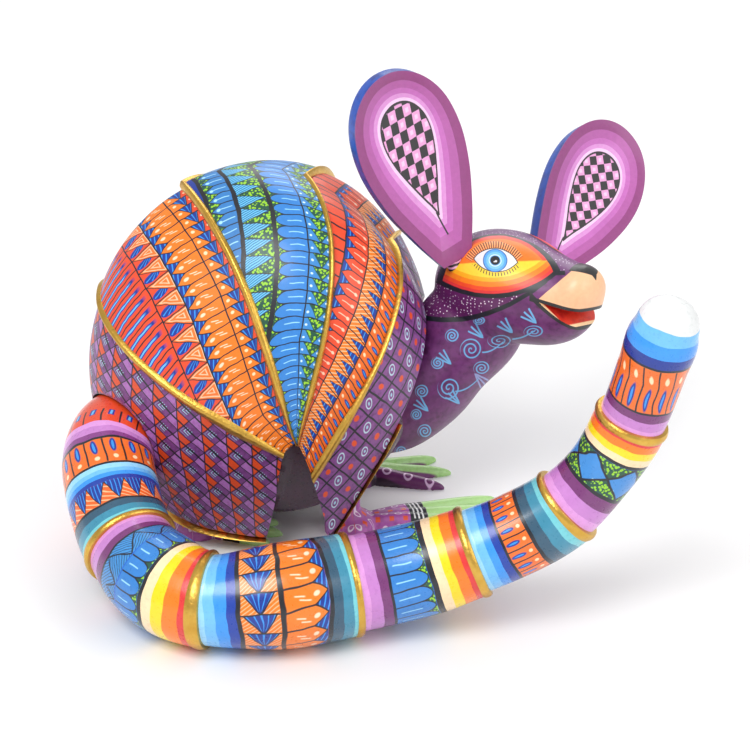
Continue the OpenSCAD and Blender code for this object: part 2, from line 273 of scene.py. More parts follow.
# Painted cells are long at the crown and short near the sides where the lines meet.
CROWN_CELL = 5.3
SIDE_CELL = 2.6
PLATE_STEPS = 220


def cell_counts(u, lift):
    """Cells of the painting from the crown to each v step, along line u."""
    def length_at(v):
        return lerp(SIDE_CELL, CROWN_CELL, max(math.cos(math.pi / 2 * v), 0) ** 0.35)

    steps = [lerp(-1, 1, k / PLATE_STEPS) for k in range(PLATE_STEPS + 1)]
    points = [shell_point(u, v, lift) for v in steps]
    counts = [0]
    for k in range(PLATE_STEPS):
        middle = (steps[k] + steps[k + 1]) / 2
        counts.append(counts[-1] + (points[k + 1] - points[k]).length / length_at(middle))
    crown = counts[PLATE_STEPS // 2]
    return [count - crown for count in counts]


def plate(u_from, u_to, shares, lift, across=24, edge_roll=(0, 0), v_range=(-1, 1), bulge=0,
          full_width=20):
    """One plate of the shell as a closed solid. Its painting coordinates are the distance
    back from its front edge, the count of cells from the crown, and v. Strips keep their
    width down the sides until only the front ones are left, and then narrow."""
    counts = cell_counts((u_from + u_to) / 2, lift)
    solid = Solid()
    rings, paints = [], []
    first = round((v_range[0] + 1) / 2 * PLATE_STEPS)
    last = round((v_range[1] + 1) / 2 * PLATE_STEPS)
    for k in range(first, last + 1):
        v = lerp(-1, 1, k / PLATE_STEPS)
        half = rib_half_span(v)
        width = (shell_point(u_to, v, lift) - shell_point(u_from, v, lift)).length
        narrowing = min(1, max(width, 0.1) / full_width)
        ring, colours = [], []
        for side in (0, 1):
            for i in range(across + 1):
                s = i / across if side == 0 else 1 - i / across
                u = lerp(u_from + shares[0] * half, u_to + shares[1] * half, s)
                roll = 0
                if edge_roll[0] and s < 0.06:
                    roll = edge_roll[0] * (1 - s / 0.06) ** 2
                if edge_roll[1] and s > 0.94:
                    roll = edge_roll[1] * ((s - 0.94) / 0.06) ** 2
                height = lift - roll + bulge * math.sin(math.pi * s) if side == 0 else -PLATE_THICKNESS
                ring.append(shell_point(u, v, height))
                colours.append(((1 - s) * width / narrowing, counts[k], v))
        rings.append(ring)
        paints.append(colours)
    return solid.loft(rings, paints)


# ---- Tail ----

TAIL_ROOT_RADIUS = 17.5
TAIL_ROUTE = [
    (-44, -4, 43, 1), (-49, -17, 43, 1), (-54, -30, 43, 1), (-55, -43, 39.5, 0.99),
    (-51, -59, 32, 0.97), (-44, -76, 23.5, 0.97), (-32, -93, 19.5, 1.03), (-14, -105, 18, 0.96),
    (12, -105, 19.5, 1.08), (37, -98, 20, 1.03), (60, -94, 23.5, 0.99), (81, -92, 30, 0.91),
    (99, -91, 38, 0.86), (114, -91, 48.5, 0.79), (126.5, -91, 64, 0.71), (135.5, -92, 83, 0.72),
    (141, -95, 104, 0.7), (144.5, -98, 120, 0.64), (147, -100, 131, 0),
]
TAIL_LAST = len(TAIL_ROUTE) - 1
TAIL_CAP = TAIL_LAST - 1
TAIL_LIP = 0.6
RING_ROWS = [5, 7, 9, 11, 13, 15]
RING_HALF_WIDTH = 1.7
TAIL_PEG_RADIUS = 6
TAIL_PEG_LENGTH = 16
RECESS_CLEARANCE = 1.2
RECESS_LENGTH = 48
PEG_CLEARANCE = 0.1
TAIL_ROW_STEPS = 14
TAIL_POINTS = 72


def route_frame(route, u):
    """Place, direction, level side and up of a route at row u."""
    def at(t):
        return Vector(smooth_row(route, t)[:3])

    ahead = (at(min(u + 0.05, len(route) - 1)) - at(max(u - 0.05, 0))).normalized()
    side = Vector((0, 0, 1)).cross(ahead).normalized()
    return at(u), ahead, side, ahead.cross(side)


def ring_of(centre, side, up, half_width, half_height, points):
    return [
        centre + side * half_width * math.cos(math.tau * j / points)
        + up * half_height * math.sin(math.tau * j / points)
        for j in range(points)
    ]


def tail_lengths(steps=40):
    """Length along the tail at each step of its route, in millimetres."""
    lengths = [0]
    before = Vector(smooth_row(TAIL_ROUTE, 0)[:3])
    for k in range(1, TAIL_LAST * steps + 1):
        here = Vector(smooth_row(TAIL_ROUTE, k / steps)[:3])
        lengths.append(lengths[-1] + (here - before).length)
        before = here
    return lambda u: lengths[min(round(u * steps), TAIL_LAST * steps)]


tail_length = tail_lengths()
SEGMENT_ENDS = [2.2] + RING_ROWS + [TAIL_LAST]


def tail_share(u):
    """Segment number plus the share of its length; segment 0 ends at the first ring."""
    for number, (low, high) in enumerate(zip(SEGMENT_ENDS, SEGMENT_ENDS[1:])):
        if u <= high:
            return number + (tail_length(u) - tail_length(low)) / (tail_length(high) - tail_length(low))
    return float(len(RING_ROWS) + 1)


def tail_radius(u):
    body = smooth_row(TAIL_ROUTE, min(u, TAIL_CAP))[3] * TAIL_ROOT_RADIUS
    if u > TAIL_CAP:
        along = (u - TAIL_CAP) / (TAIL_LAST - TAIL_CAP)
        return max(body * math.sqrt(max(1 - along * along, 0)), 0.2)
    if u < RING_ROWS[0] - 2:
        return body
    before = max([0] + [row for row in RING_ROWS if row < u])
    after = min([TAIL_LAST] + [row for row in RING_ROWS if row >= u])
    return body + TAIL_LIP * (2 * ease((u - before) / (after - before)) - 1)


def tail_rows():
    rows = [k / TAIL_ROW_STEPS for k in range(TAIL_CAP * TAIL_ROW_STEPS)]
    cap_steps = 16
    return rows + [TAIL_CAP + math.sin(math.pi / 2 * k / cap_steps) for k in range(cap_steps + 1)]


def build_tail():
    rings, paints, rows = [], [], tail_rows()
    for u in rows:
        centre, _, side, up = route_frame(TAIL_ROUTE, u)
        radius = tail_radius(u)
        rings.append(ring_of(centre, side, up, radius, radius, TAIL_POINTS))
        share = tail_share(u)
        turns = [math.tau * j / TAIL_POINTS for j in range(TAIL_POINTS)]
        paints.append([(share, math.cos(a), math.sin(a)) for a in turns])

    def segment(i, j):
        return max(0, min(int(tail_share((rows[i] + rows[i + 1]) / 2)), len(RING_ROWS)))

    return Solid().loft(rings, paints, kind=segment)


tail_seat = Vector(TAIL_ROUTE[0][:3])
tail_pull = (Vector(TAIL_ROUTE[1][:3]) - tail_seat).normalized()
tail_turn_in = tail_pull.to_track_quat("-Z", "Y").to_matrix()


def build_tail_rings():
    """Gilded bands round the tail, crowned across their width."""
    solid = Solid()
    section = [(-1, -0.8), (-0.9, 0.15), (-0.45, 0.6), (0, 0.75), (0.45, 0.6), (0.9, 0.05), (1, -0.8)]
    for row in RING_ROWS:
        pace = tail_length(row + 0.1) - tail_length(row - 0.1)
        half = RING_HALF_WIDTH / (pace / 0.2)
        seat = (tail_radius(row - half) + tail_radius(row + half)) / 2
        crown = max(tail_radius(row - half), tail_radius(row + half))
        rings = []
        for share, height in section:
            centre, _, side, up = route_frame(TAIL_ROUTE, row + share * half)
            radius = crown + height * 0.8 if height > 0 else seat + height
            rings.append(ring_of(centre, side, up, radius, radius, TAIL_POINTS))
        turns = [math.tau * j / TAIL_POINTS for j in range(TAIL_POINTS)]
        paints = [[(share, math.cos(a), math.sin(a)) for a in turns] for share, _ in section]
        solid.loft(rings, paints)
    return solid


# ---- Torso ----

TORSO_LINES = SHELL_LINES + [(-30, 27, 12, 42, 4, 0), (-85, 16, 8, 42, 0, 0), (-132, 4, 7, 42, 0, 0)]
TORSO_INSET = 5.2
TORSO_SIDE_INSET = 11
BELLY_RISE = 7


def torso_point(u, v):
    angle, side_x, side_z, half_width, bow_x, bow_z = smooth_row(TORSO_LINES, u)
    under = max(-math.sin(math.radians(angle)), 0)
    crown_x, crown_z = crown_point(angle, -TORSO_INSET - BELLY_RISE * under)
    side_x, side_z = lerp(side_x, 17, 0.3), lerp(side_z, 33, 0.3)
    reach = max(math.cos(math.pi / 2 * v), 0) ** FULLNESS
    bow = math.sin(math.pi * abs(v))
    return Vector((
        lerp(side_x, crown_x, reach) + bow_x * bow,
        (half_width - TORSO_SIDE_INSET) * math.sin(math.pi / 2 * v),
        lerp(side_z, crown_z, reach) + bow_z * bow,
    ))


def build_torso():
    around, along = 108, 72
    rings, paints = [], []
    for k in range(along + 1):
        v = lerp(-1, 1, k / along)
        ring = [torso_point(i * (len(TORSO_LINES) - 1) / around, v) for i in range(around)]
        rings.append(ring)
        paints.append([tuple(p) for p in ring])
    return Solid().loft(rings, paints)


# ---- Head ----

HEAD_MIDDLE = Vector((95, -1, 96))
HEAD_TURN = (
    Matrix.Rotation(math.radians(-42), 3, "Z")
    @ Matrix.Rotation(math.radians(-13), 3, "Y")
    @ Matrix.Rotation(math.radians(-10), 3, "X")
)
NECK_ROUTE = [
    (36, 0, 41, 17, 18),
    (42, 0, 43, 19, 20),
    (52, 0, 48, 21, 22.5),
    (63, 0, 56, 20.5, 22),
    (74, 0, 67.5, 19, 20),
    (85, -1, 81, 18, 20),
    (93, -2, 94, 14, 15),
]
# Sections of the skull: distance ahead of its middle, half width, top and bottom.
SKULL_ROUTE = [
    (-27, 5, 4, -5), (-24, 12, 12, -12), (-17, 18.5, 18, -18), (-7, 22.5, 21.5, -21),
    (4, 23, 21.5, -22), (15, 20.5, 18.5, -22), (26, 16, 13.5, -21.5), (35, 12.5, 10.5, -18.5),
    (41, 10.5, 9.5, -13), (44.5, 7.5, 7, -6), (46, 3, 3, -1),
]


def head_local(point):
    return HEAD_TURN.transposed() @ (point - HEAD_MIDDLE)


def build_neck():
    steps, points = 48, 64
    rings = []
    for k in range(steps + 1):
        u = k * (len(NECK_ROUTE) - 1) / steps
        centre, _, side, up = route_frame(NECK_ROUTE, u)
        _, _, _, half_width, half_height = smooth_row(NECK_ROUTE, u)
        rings.append(ring_of(centre, side, up, half_width, half_height, points))
    return Solid().loft(rings, [[(0, 0, 0)] * points] * (steps + 1))


def build_skull():
    steps, points = 90, 96
    rings = []
    for k in range(steps + 1):
        ahead, half_width, top, bottom = smooth_row(SKULL_ROUTE, k * (len(SKULL_ROUTE) - 1) / steps)
        ring = []
        for j in range(points):
            turn = math.tau * j / points
            height = (top + bottom) / 2 + (top - bottom) / 2 * math.sin(turn)
            ring.append(HEAD_MIDDLE + HEAD_TURN @ Vector((ahead, half_width * math.cos(turn), height)))
        rings.append(ring)
    return Solid().loft(rings, [[(0, 0, 0)] * points] * (steps + 1))


MOUTH_OUTLINE = [(30, -3.5), (39.5, -13.5), (38, -30), (53, -30), (53, -7.5), (43, -7.5)]
MOUTH_WIDTH = 60
HEAD_VOXEL = 0.7
HEAD_SMOOTHING = 14


def build_mouth_cut(kind):
    rings = []
    for side in (-1, 1):
        rings.append([
            HEAD_MIDDLE + HEAD_TURN @ Vector((ahead, side * MOUTH_WIDTH / 2, height))
            for ahead, height in MOUTH_OUTLINE
        ])
    return Solid().loft(rings, [[(0, 0, 0)] * len(MOUTH_OUTLINE)] * 2, kind=lambda i, j: kind)


def join(parts):
    """Fuses overlapping parts into one closed skin."""
    piece = parts[0]
    for part in parts[1:]:
        modifier = piece.modifiers.new("join", "BOOLEAN")
        modifier.operation = "UNION"
        modifier.solver = "EXACT"
        modifier.object = part
    apply_modifiers(piece)
    for part in parts[1:]:
        bpy.data.objects.remove(part)


def soften(piece, voxel, smoothing):
    """Remeshes a fused piece so that its parts flow into each other."""
    remesh = piece.modifiers.new("remesh", "REMESH")
    remesh.mode = "VOXEL"
    remesh.voxel_size = voxel * MM
    smooth = piece.modifiers.new("smooth", "SMOOTH")
    smooth.factor = 0.5
    smooth.iterations = smoothing
    apply_modifiers(piece)


def repaint(piece, paint_of):
    """Sets the painting coordinates of each point from its place in the body's axes."""
    values = [tuple(paint_of((v.co - body_origin) / MM)) for v in piece.data.vertices]
    set_paint(piece.data, values)


# ---- Ears ----

EAR_LENGTH = 78
EAR_WIDTH = 42
EAR_START = 40
EAR_PEAK = 0.77
EAR_PEG_RADIUS = 3.5
EAR_PEG_LENGTH = 11
EAR_SEAT_GAP = 0.15
EARS = {
    "right_ear": ((75.5, -7, 110.8), 4, -21, 26),
    "left_ear": ((112, 14, 96), -49, 44, 0),
}
EAR_POINTS = 120
EAR_RIM_HEIGHT = 3.5
EAR_DISH_HEIGHT = -0.8
EAR_BACK_HEIGHT = -3.6
# The painted drop inside an ear: its half width, its middle, and its foot and length.
DROP_HALF_WIDTH = 10.8
DROP_ASIDE = 1.2
DROP_FOOT = 18
DROP_LENGTH = 47
EAR_MIDDLE = Vector((DROP_ASIDE, 46))
# The foot of the plate runs on as a stalk into its seat in the head.
STALK_FROM = 22
STALK_DEPTH = 2


def ear_outline(angle):
    """Across and along an ear plate, for an angle from 40 to 320 degrees."""
    turn = math.radians(angle)
    cut = (1 - math.cos(math.radians(EAR_START))) / 2
    full = EAR_LENGTH / (1 - cut)
    across = EAR_WIDTH / (2 * EAR_PEAK) * math.sin(turn) * math.sin(turn / 2)
    return Vector((across, full * ((1 - math.cos(turn)) / 2 - cut)))


def ear_inner(angle):
    """The painted drop in the middle of an ear, with its point towards the foot."""
    turn = math.radians(lerp(0, 360, (angle - EAR_START) / (360 - 2 * EAR_START)))
    across = DROP_HALF_WIDTH / EAR_PEAK * math.sin(turn) * math.sin(turn / 2) ** 1.5
    return Vector((across + DROP_ASIDE, DROP_FOOT + DROP_LENGTH * (1 - math.cos(turn)) / 2))


def ear_turn(place):
    tilt, lean = math.radians(place[1]), math.radians(place[2])
    return Matrix.Rotation(lean, 3, "Y") @ Matrix.Rotation(tilt, 3, "X")


# Steps across an ear from the middle of its painted face, over the rim, to the middle
# of its back: band (-1 middle, 0 edge of the drop, 1 rim, above 1 the back) and height.
EAR_SECTION = (
    [(-1 + k / 6, EAR_DISH_HEIGHT + 0.4 * (k / 6) ** 2) for k in range(6)]
    + [(k / 12, -0.4 + 3.9 * ease(k / 12) * (0.55 + 0.45 * k / 12)) for k in range(12)]
    + [(1, EAR_RIM_HEIGHT), (1.04, 3.1), (1.08, 2.2), (1.1, -1.7), (1.12, -2.9), (1.2, -3.5)]
    + [(1.3 + 0.7 * k / 6, EAR_BACK_HEIGHT) for k in range(7)]
)


def ear_point(band, height, angle):
    """The place of a band of the ear: across and along the plate, and height off it."""
    outer, inner = ear_outline(angle), ear_inner(angle)
    if band <= 0:
        flat = EAR_MIDDLE.lerp(inner, 1 + band)
    elif band <= 1:
        flat = inner.lerp(outer, band)
    elif band <= 1.3:
        inset = {1.04: 0.995, 1.08: 1, 1.1: 1, 1.12: 0.995}.get(round(band, 2), 0.97)
        flat = EAR_MIDDLE.lerp(outer, inset)
    else:
        flat = EAR_MIDDLE.lerp(outer, 0.97 * (2 - band) / 0.7)
    return flat, height


def build_ear(place, grow=0):
    """An ear; grow makes it a little bigger all round, as the cutter of its own seat."""
    foot, turn = Vector(place[0]), ear_turn(place)
    face = Matrix.Rotation(math.radians(place[3]), 3, "Z")
    rings, paints = [], []
    for band, height in EAR_SECTION:
        ring, colours = [], []
        for j in range(EAR_POINTS):
            angle = lerp(EAR_START, 360 - EAR_START, (j + 0.5) / EAR_POINTS)
            flat, lift = ear_point(max(band, -0.98), height, angle)
            away = flat - EAR_MIDDLE
            flat = flat + away.normalized() * grow if away.length > grow else flat
            sunk = max(1 - flat.y / STALK_FROM, 0)
            flat.y -= STALK_DEPTH * sunk * sunk
            lift += math.copysign(grow, lift)
            ring.append(foot + turn @ face @ Vector((flat.x, -lift, flat.y)))
            colours.append((flat.x, flat.y, band))
        rings.append(ring)
        paints.append(colours)
    return Solid().loft(rings, paints)


# ---- Feet ----

FEET = {
    "right_front_foot": (NEAR_ANKLE, 14, 68, 9),
    "left_front_foot": ((38, 21), 6, 40, 20),
    "right_hind_foot": ((-24, -22), -8, 34, 16),
    "left_hind_foot": ((-24, 22), 12, 34, 16),
}
TOE_PROFILE = [
    (0, 3, 6), (0.3, 4.2, 6.5), (0.5, 3.6, 5.6), (0.8, 2.9, 4), (0.95, 1.6, 2.4), (1, 0.5, 1),
]
OUTER_TOE_SHARE = 0.94
FOOT_VOXEL = 0.45
FOOT_SMOOTHING = 4


def build_toe(place, number):
    (ankle_x, ankle_y), direction, length, spread = place
    turn = Matrix.Rotation(math.radians(direction + number * spread), 3, "Z")
    length *= 1 if number == 0 else OUTER_TOE_SHARE
    steps, points = 40, 36
    rings, paints = [], []
    for k in range(steps + 1):
        share, half_width, height = smooth_row(TOE_PROFILE, k * (len(TOE_PROFILE) - 1) / steps)
        ring, colours = [], []
        for j in range(points + 1):
            angle = math.pi * j / points
            x, z = half_width * math.cos(angle), height * math.sin(angle)
            ring.append(Vector((ankle_x, ankle_y, 0)) + turn @ Vector((share * length, x, z)))
            colours.append((share * length, x, number))
        rings.append(ring)
        paints.append(colours)
    return Solid().loft(rings, paints)


def build_palm(place):
    (ankle_x, ankle_y), _, _, _ = place
    profile = [(10, 0), (10, 3.5), (9, 6), (6.5, 7.6), (4.2, 10), (4, 26)]
    points = 64
    rings = []
    for radius, z in profile:
        rings.append([
            Vector((
                ankle_x + radius * math.cos(math.tau * j / points),
                ankle_y + radius * math.sin(math.tau * j / points),
                z,
            ))
            for j in range(points)
        ])
    return Solid().loft(rings, [[(0, 0, 0)] * points] * len(profile))


def toe_coordinates(place, point):
    """Distance along the nearest toe, distance to the side of its middle, and its number."""
    (ankle_x, ankle_y), direction, _, spread = place
    best = None
    for number in (-1, 0, 1):
        turn = math.radians(direction + number * spread)
        ahead = Vector((math.cos(turn), math.sin(turn)))
        offset = Vector((point.x - ankle_x, point.y - ankle_y))
        along, across = offset.dot(ahead), ahead.cross(offset)
        if best is None or abs(across) < abs(best[1]):
            best = (along, across, number)
    return best


def build_foot(name, place):
    parts = [make_object(name, build_palm(place), uneven=False)]
    for number in (-1, 0, 1):
        parts.append(make_object(f"{name}_toe", build_toe(place, number), uneven=False))
    join(parts)
    soften(parts[0], FOOT_VOXEL, FOOT_SMOOTHING)
    repaint(parts[0], lambda point: toe_coordinates(place, point))
    return parts[0]


# ---- Paint: small helpers that build node trees ----

def linear(red, green, blue):
    """A screen colour from 0 to 255 as the linear colour that a shader takes."""
    def channel(value):
        share = value / 255
        return share / 12.92 if share <= 0.04045 else ((share + 0.055) / 1.055) ** 2.4

    return (channel(red), channel(green), channel(blue), 1)


class Wire:
    """A number in a node tree. Adding, scaling or comparing it adds the node that does so."""

    def __init__(self, paint, socket):
        self.paint = paint
        self.socket = socket

    def __add__(self, other):
        return self.paint.math("ADD", self, other)

    def __sub__(self, other):
        return self.paint.math("SUBTRACT", self, other)

    def __rsub__(self, other):
        return self.paint.math("SUBTRACT", other, self)

    def __mul__(self, other):
        return self.paint.math("MULTIPLY", self, other)

    def __truediv__(self, other):
        return self.paint.math("DIVIDE", self, other)

    def __abs__(self):
        return self.paint.math("ABSOLUTE", self)

    def __pow__(self, other):
        return self.paint.math("POWER", self, other)

    __radd__ = __add__
    __rmul__ = __mul__


class Paint:
    """One material: a node tree that mixes painted marks over a ground colour."""

    def __init__(self, name):
        self.material = bpy.data.materials.new(name)
        self.material.use_nodes = True
        self.tree = self.material.node_tree
        self.tree.nodes.clear()
        attribute = self.node("Attribute", attribute_name="paint")
        self.parts = self.node("SeparateXYZ")
        self.link(attribute.outputs["Vector"], self.parts.inputs[0])
        self.where = self.node("TexCoord").outputs["Object"]

    def node(self, kind, **settings):
        made = self.tree.nodes.new("ShaderNode" + kind)
        for name, value in settings.items():
            setattr(made, name, value)
        return made

    def link(self, value, socket):
        if isinstance(value, Wire):
            value = value.socket
        if isinstance(value, bpy.types.NodeSocket):
            self.tree.links.new(value, socket)
        else:
            socket.default_value = value

    def math(self, operation, *values, clamp=False):
        made = self.node("Math", operation=operation, use_clamp=clamp)
        for value, socket in zip(values, made.inputs):
            self.link(value, socket)
        return Wire(self, made.outputs[0])

    def coordinate(self, number):
        return Wire(self, self.parts.outputs[number])

    def noise(self, size, detail=2, seed=0):
        """Smooth noise from 0 to 1, with features of about size millimetres."""
        made = self.node("TexNoise", noise_dimensions="4D")
        self.link(self.where, made.inputs["Vector"])
        made.inputs["W"].default_value = seed
        made.inputs["Scale"].default_value = 1000 / size
        made.inputs["Detail"].default_value = detail
        return Wire(self, made.outputs["Fac"])

    def shaky(self, value, amount, size=3, seed=0):
        """A coordinate as a hand follows it, off by up to about amount."""
        return value + (self.noise(size, 1, seed) - 0.5) * (amount * 3)

    def least(self, *values):
        result = values[0]
        for value in values[1:]:
            result = self.math("MINIMUM", result, value)
        return result

    def most(self, *values):
        result = values[0]
        for value in values[1:]:
            result = self.math("MAXIMUM", result, value)
        return result

    def fraction(self, value):
        return self.math("FRACT", value)

    def fold(self, value):
        """Distance to the nearest whole number."""
        return self.math("PINGPONG", value, 0.5)

    def under(self, value, edge, soft=0.03):
        """1 where value is below edge, 0 above it, with a narrow ramp between."""
        return self.math("MULTIPLY_ADD", value * -1 + edge, 1 / soft, 0.5, clamp=True)

    def over(self, value, edge, soft=0.03):
        return self.under(value * -1, edge * -1, soft)

    def between(self, value, low, high, soft=0.02):
        return self.over(value, low, soft) * self.under(value, high, soft)

    def length(self, x, y):
        return self.math("SQRT", x * x + y * y)

    def mix(self, share, below, above):
        made = self.node("Mix", data_type="RGBA")
        self.link(share, made.inputs[0])
        self.link(below, made.inputs[6])
        self.link(above, made.inputs[7])
        return made.outputs[2]

    def bands(self, value, rows):
        """Stripes of colour across value: rows of the value each starts at and its colour."""
        made = self.node("ValToRGB")
        ramp = made.color_ramp
        ramp.interpolation = "CONSTANT"
        self.link(value, made.inputs[0])
        ramp.elements[0].position = 0
        ramp.elements[0].color = rows[0][1]
        ramp.elements[1].position = 1
        ramp.elements[1].color = rows[-1][1]
        for start, colour in rows[1:]:
            ramp.elements.new(start).color = colour
        return made.outputs[0]

    def finish(self, colour, roughness=0.42, stroke=0.16, bump=0.25, coat=0.2):
        """Adds the brush's light and dark, the relief of the paint, and its satin varnish."""
        stroked = self.noise(1.6, 3, 11)
        broad = self.noise(14, 2, 12)
        value = 1 + (stroked - 0.5) * (stroke * 1.6) + (broad - 0.5) * (stroke * 1.2)
        shade = self.node("HueSaturation")
        self.link(colour, shade.inputs["Color"])
        self.link(value, shade.inputs["Value"])
        shader = self.node("BsdfPrincipled")
        self.link(shade.outputs[0], shader.inputs["Base Color"])
        rough = (stroked - 0.5) * 0.25 + roughness
        self.link(rough, shader.inputs["Roughness"])
        shader.inputs["Coat Weight"].default_value = coat
        shader.inputs["Coat Roughness"].default_value = 0.18
        height = stroked * 0.6 + self.noise(0.7, 2, 13) * 0.3
        relief = self.node("Bump")
        relief.inputs["Strength"].default_value = bump
        relief.inputs["Distance"].default_value = 0.35 * MM
        self.link(height, relief.inputs["Height"])
        self.link(relief.outputs[0], shader.inputs["Normal"])
        output = self.node("OutputMaterial")
        self.link(shader.outputs[0], output.inputs["Surface"])
        return self.material


LINE_BLACK = linear(20, 24, 34)
WHITE = linear(232, 234, 234)
PLUM = linear(75, 20, 70)
ORANGE = linear(245, 125, 20)
RED_ORANGE = linear(235, 75, 35)
RED = linear(225, 50, 50)
YELLOW = linear(250, 220, 0)
CREAM = linear(255, 225, 180)
LIGHT_BLUE = linear(110, 190, 250)
MID_BLUE = linear(50, 150, 240)
BLUE = linear(20, 100, 205)
DARK_BLUE = linear(10, 50, 150)
DEEP_TEAL = linear(45, 85, 110)
TEAL = linear(55, 140, 170)
AQUA = linear(115, 205, 215)
LILAC = linear(200, 130, 205)
PINK = linear(225, 155, 225)
VIOLET = linear(135, 60, 135)
LIME = linear(150, 210, 40)
DARK_GREEN = linear(20, 80, 60)
PEACH = linear(250, 195, 150)
CLAW_GREEN = linear(175, 220, 140)
BLUE_PICKET = linear(48, 130, 210)
CHECK_PINK = linear(235, 165, 215)
CHECK_BLACK = linear(50, 48, 50)


def paint_gold():
    """Gold leaf over a raised bead: constant metal, uneven in colour and gloss."""
    paint = Paint("gold_leaf")
    crinkle = paint.noise(1.1, 4, 1)
    patch = paint.noise(6, 3, 2)
    colour = paint.mix(patch, linear(176, 128, 44), linear(250, 214, 112))
    colour = paint.mix(crinkle * 0.6, colour, linear(214, 160, 60))
    shader = paint.node("BsdfPrincipled")
    paint.link(colour, shader.inputs["Base Color"])
    shader.inputs["Metallic"].default_value = 1
    paint.link(crinkle * 0.35 + 0.16, shader.inputs["Roughness"])
    relief = paint.node("Bump")
    relief.inputs["Strength"].default_value = 0.6
    relief.inputs["Distance"].default_value = 0.3 * MM
    paint.link(crinkle + patch * 0.5, relief.inputs["Height"])
    paint.link(relief.outputs[0], shader.inputs["Normal"])
    output = paint.node("OutputMaterial")
    paint.link(shader.outputs[0], output.inputs["Surface"])
    return paint.material


# ---- Painted patterns ----
# Each takes x, 0 to 1 across its strip, and cell, which counts the repeats along it.

def cell_line(paint, colour, cell, width=0.09):
    """A thin black line between one cell and the next."""
    return paint.mix(paint.under(paint.fold(cell), width / 2, 0.03), colour, LINE_BLACK)


def dot(paint, colour, x, cell, at, size, spot, aspect=1.5):
    """A round spot in every cell; aspect is the strip's width over the cell's length."""
    away = paint.length((x - at[0]) * aspect, paint.fraction(cell) - at[1])
    return paint.mix(paint.under(away, size, 0.05), colour, spot)


def dash(paint, colour, x, cell, span, at, half, spot, slope=0.0):
    """A short brush stroke across every cell, from span[0] to span[1]."""
    off = abs(paint.fraction(cell) - at - (x - span[0]) * slope)
    share = paint.under(off, half, 0.04) * paint.between(x, span[0], span[1], 0.04)
    return paint.mix(share, colour, spot)


def speckles(paint, colour, spot, size=0.55, share=0.5):
    """Small round dabs scattered over a ground, size in millimetres."""
    cells = paint.node("TexVoronoi")
    paint.link(paint.where, cells.inputs["Vector"])
    cells.inputs["Scale"].default_value = 1 / (size * 2.2 * MM)
    away = Wire(paint, cells.outputs["Distance"])
    return paint.mix(paint.under(away, share * 0.72, 0.08), colour, spot)


def pickets(paint, x, cell, body, gap, stroke, tip=0.62, round_tip=False, dot_at=None, strokes=1):
    """Pointed or rounded fingers, flat at x = 0, with their tips at x = 1."""
    beyond = paint.most((x - tip) / (0.97 - tip), 0)
    if round_tip:
        edge = paint.math("SQRT", paint.most(1 - beyond * beyond, 0)) * 0.5
    else:
        edge = (1 - beyond ** 1.2) * 0.5
    off = abs(paint.fraction(cell) - 0.5)
    gap_share = paint.over(off - edge, 0, 0.04)
    colour = paint.mix(gap_share, body, gap)
    for number in range(strokes):
        at, span, slope = 0.5, (0.12, 0.62), 0
        if strokes > 1:
            at, slope = 0.38 + 0.22 * number, 0.5
            span = (0.2 + 0.1 * number, 0.42 + 0.1 * number)
        colour = dash(paint, colour, x, cell, span, at, 0.035, stroke, slope)
    if dot_at:
        colour = dot(paint, colour, x, cell, (dot_at, 0.5), 0.12, stroke)
    outline = paint.under(abs(off - edge), 0.045, 0.035)
    return paint.mix(outline, colour, LINE_BLACK)


def bars_and_dots(paint, x, cell, ground, bar_at=0.3, dot_at=0.78):
    """Cells with a blue bar at one end and a pale dot at the other."""
    across, along = x - bar_at, paint.fraction(cell) - 0.5
    outer = paint.length(across * 0.62, along)
    inner = paint.length(across * 0.7, along * 1.9)
    colour = paint.mix(paint.under(outer, 0.17, 0.04), ground, DARK_BLUE)
    colour = paint.mix(paint.under(inner, 0.13, 0.04), colour, MID_BLUE)
    colour = dot(paint, colour, x, cell, (dot_at, 0.5), 0.13, CREAM)
    return cell_line(paint, colour, cell, 0.1)


def hatch(paint, colour, value, count, spot, share=0.16):
    return paint.mix(paint.under(paint.fold(value * count), share, 0.08), colour, spot)


def zigzag(paint, x, cell, near, far):
    """Two rows of triangles that fit into each other; near has its base at x = 0."""
    peak = paint.fold(cell) * 2
    side = peak - (1 - x)
    colour = paint.mix(paint.over(side, 0, 0.04), near, far)
    return paint.mix(paint.under(abs(side), 0.06, 0.05), colour, LINE_BLACK)


def hourglasses(paint, x, cell):
    """Dark-blue blades with light strokes between striped orange triangles."""
    middle = abs(x - 0.5) * 2
    step = paint.fraction(cell)
    blade = paint.under(middle - (1 - step) * 0.85, 0.05, 0.05)
    orange = hatch(paint, ORANGE, x * 1.2 + step, 5, linear(255, 190, 140), 0.14)
    away = abs(paint.math("ARCTAN2", (x - 0.5) * 1.3, 1.02 - step))
    strokes = paint.under(paint.fold(away * 4.4), 0.12, 0.08) * paint.under(step, 0.85, 0.05)
    blue = paint.mix(strokes, DARK_BLUE, MID_BLUE)
    colour = paint.mix(blade, orange, blue)
    colour = paint.mix(paint.under(abs(middle - (1 - step) * 0.85), 0.05, 0.05), colour, LINE_BLACK)
    return cell_line(paint, colour, cell, 0.08)


def red_bars(paint, x, cell):
    colour = dash(paint, RED_ORANGE, x, cell, (0.05, 0.45), 0.5, 0.17, DARK_BLUE)
    colour = dash(paint, colour, x, cell, (0.1, 0.4), 0.5, 0.07, LIGHT_BLUE)
    return cell_line(paint, colour, cell, 0.1)


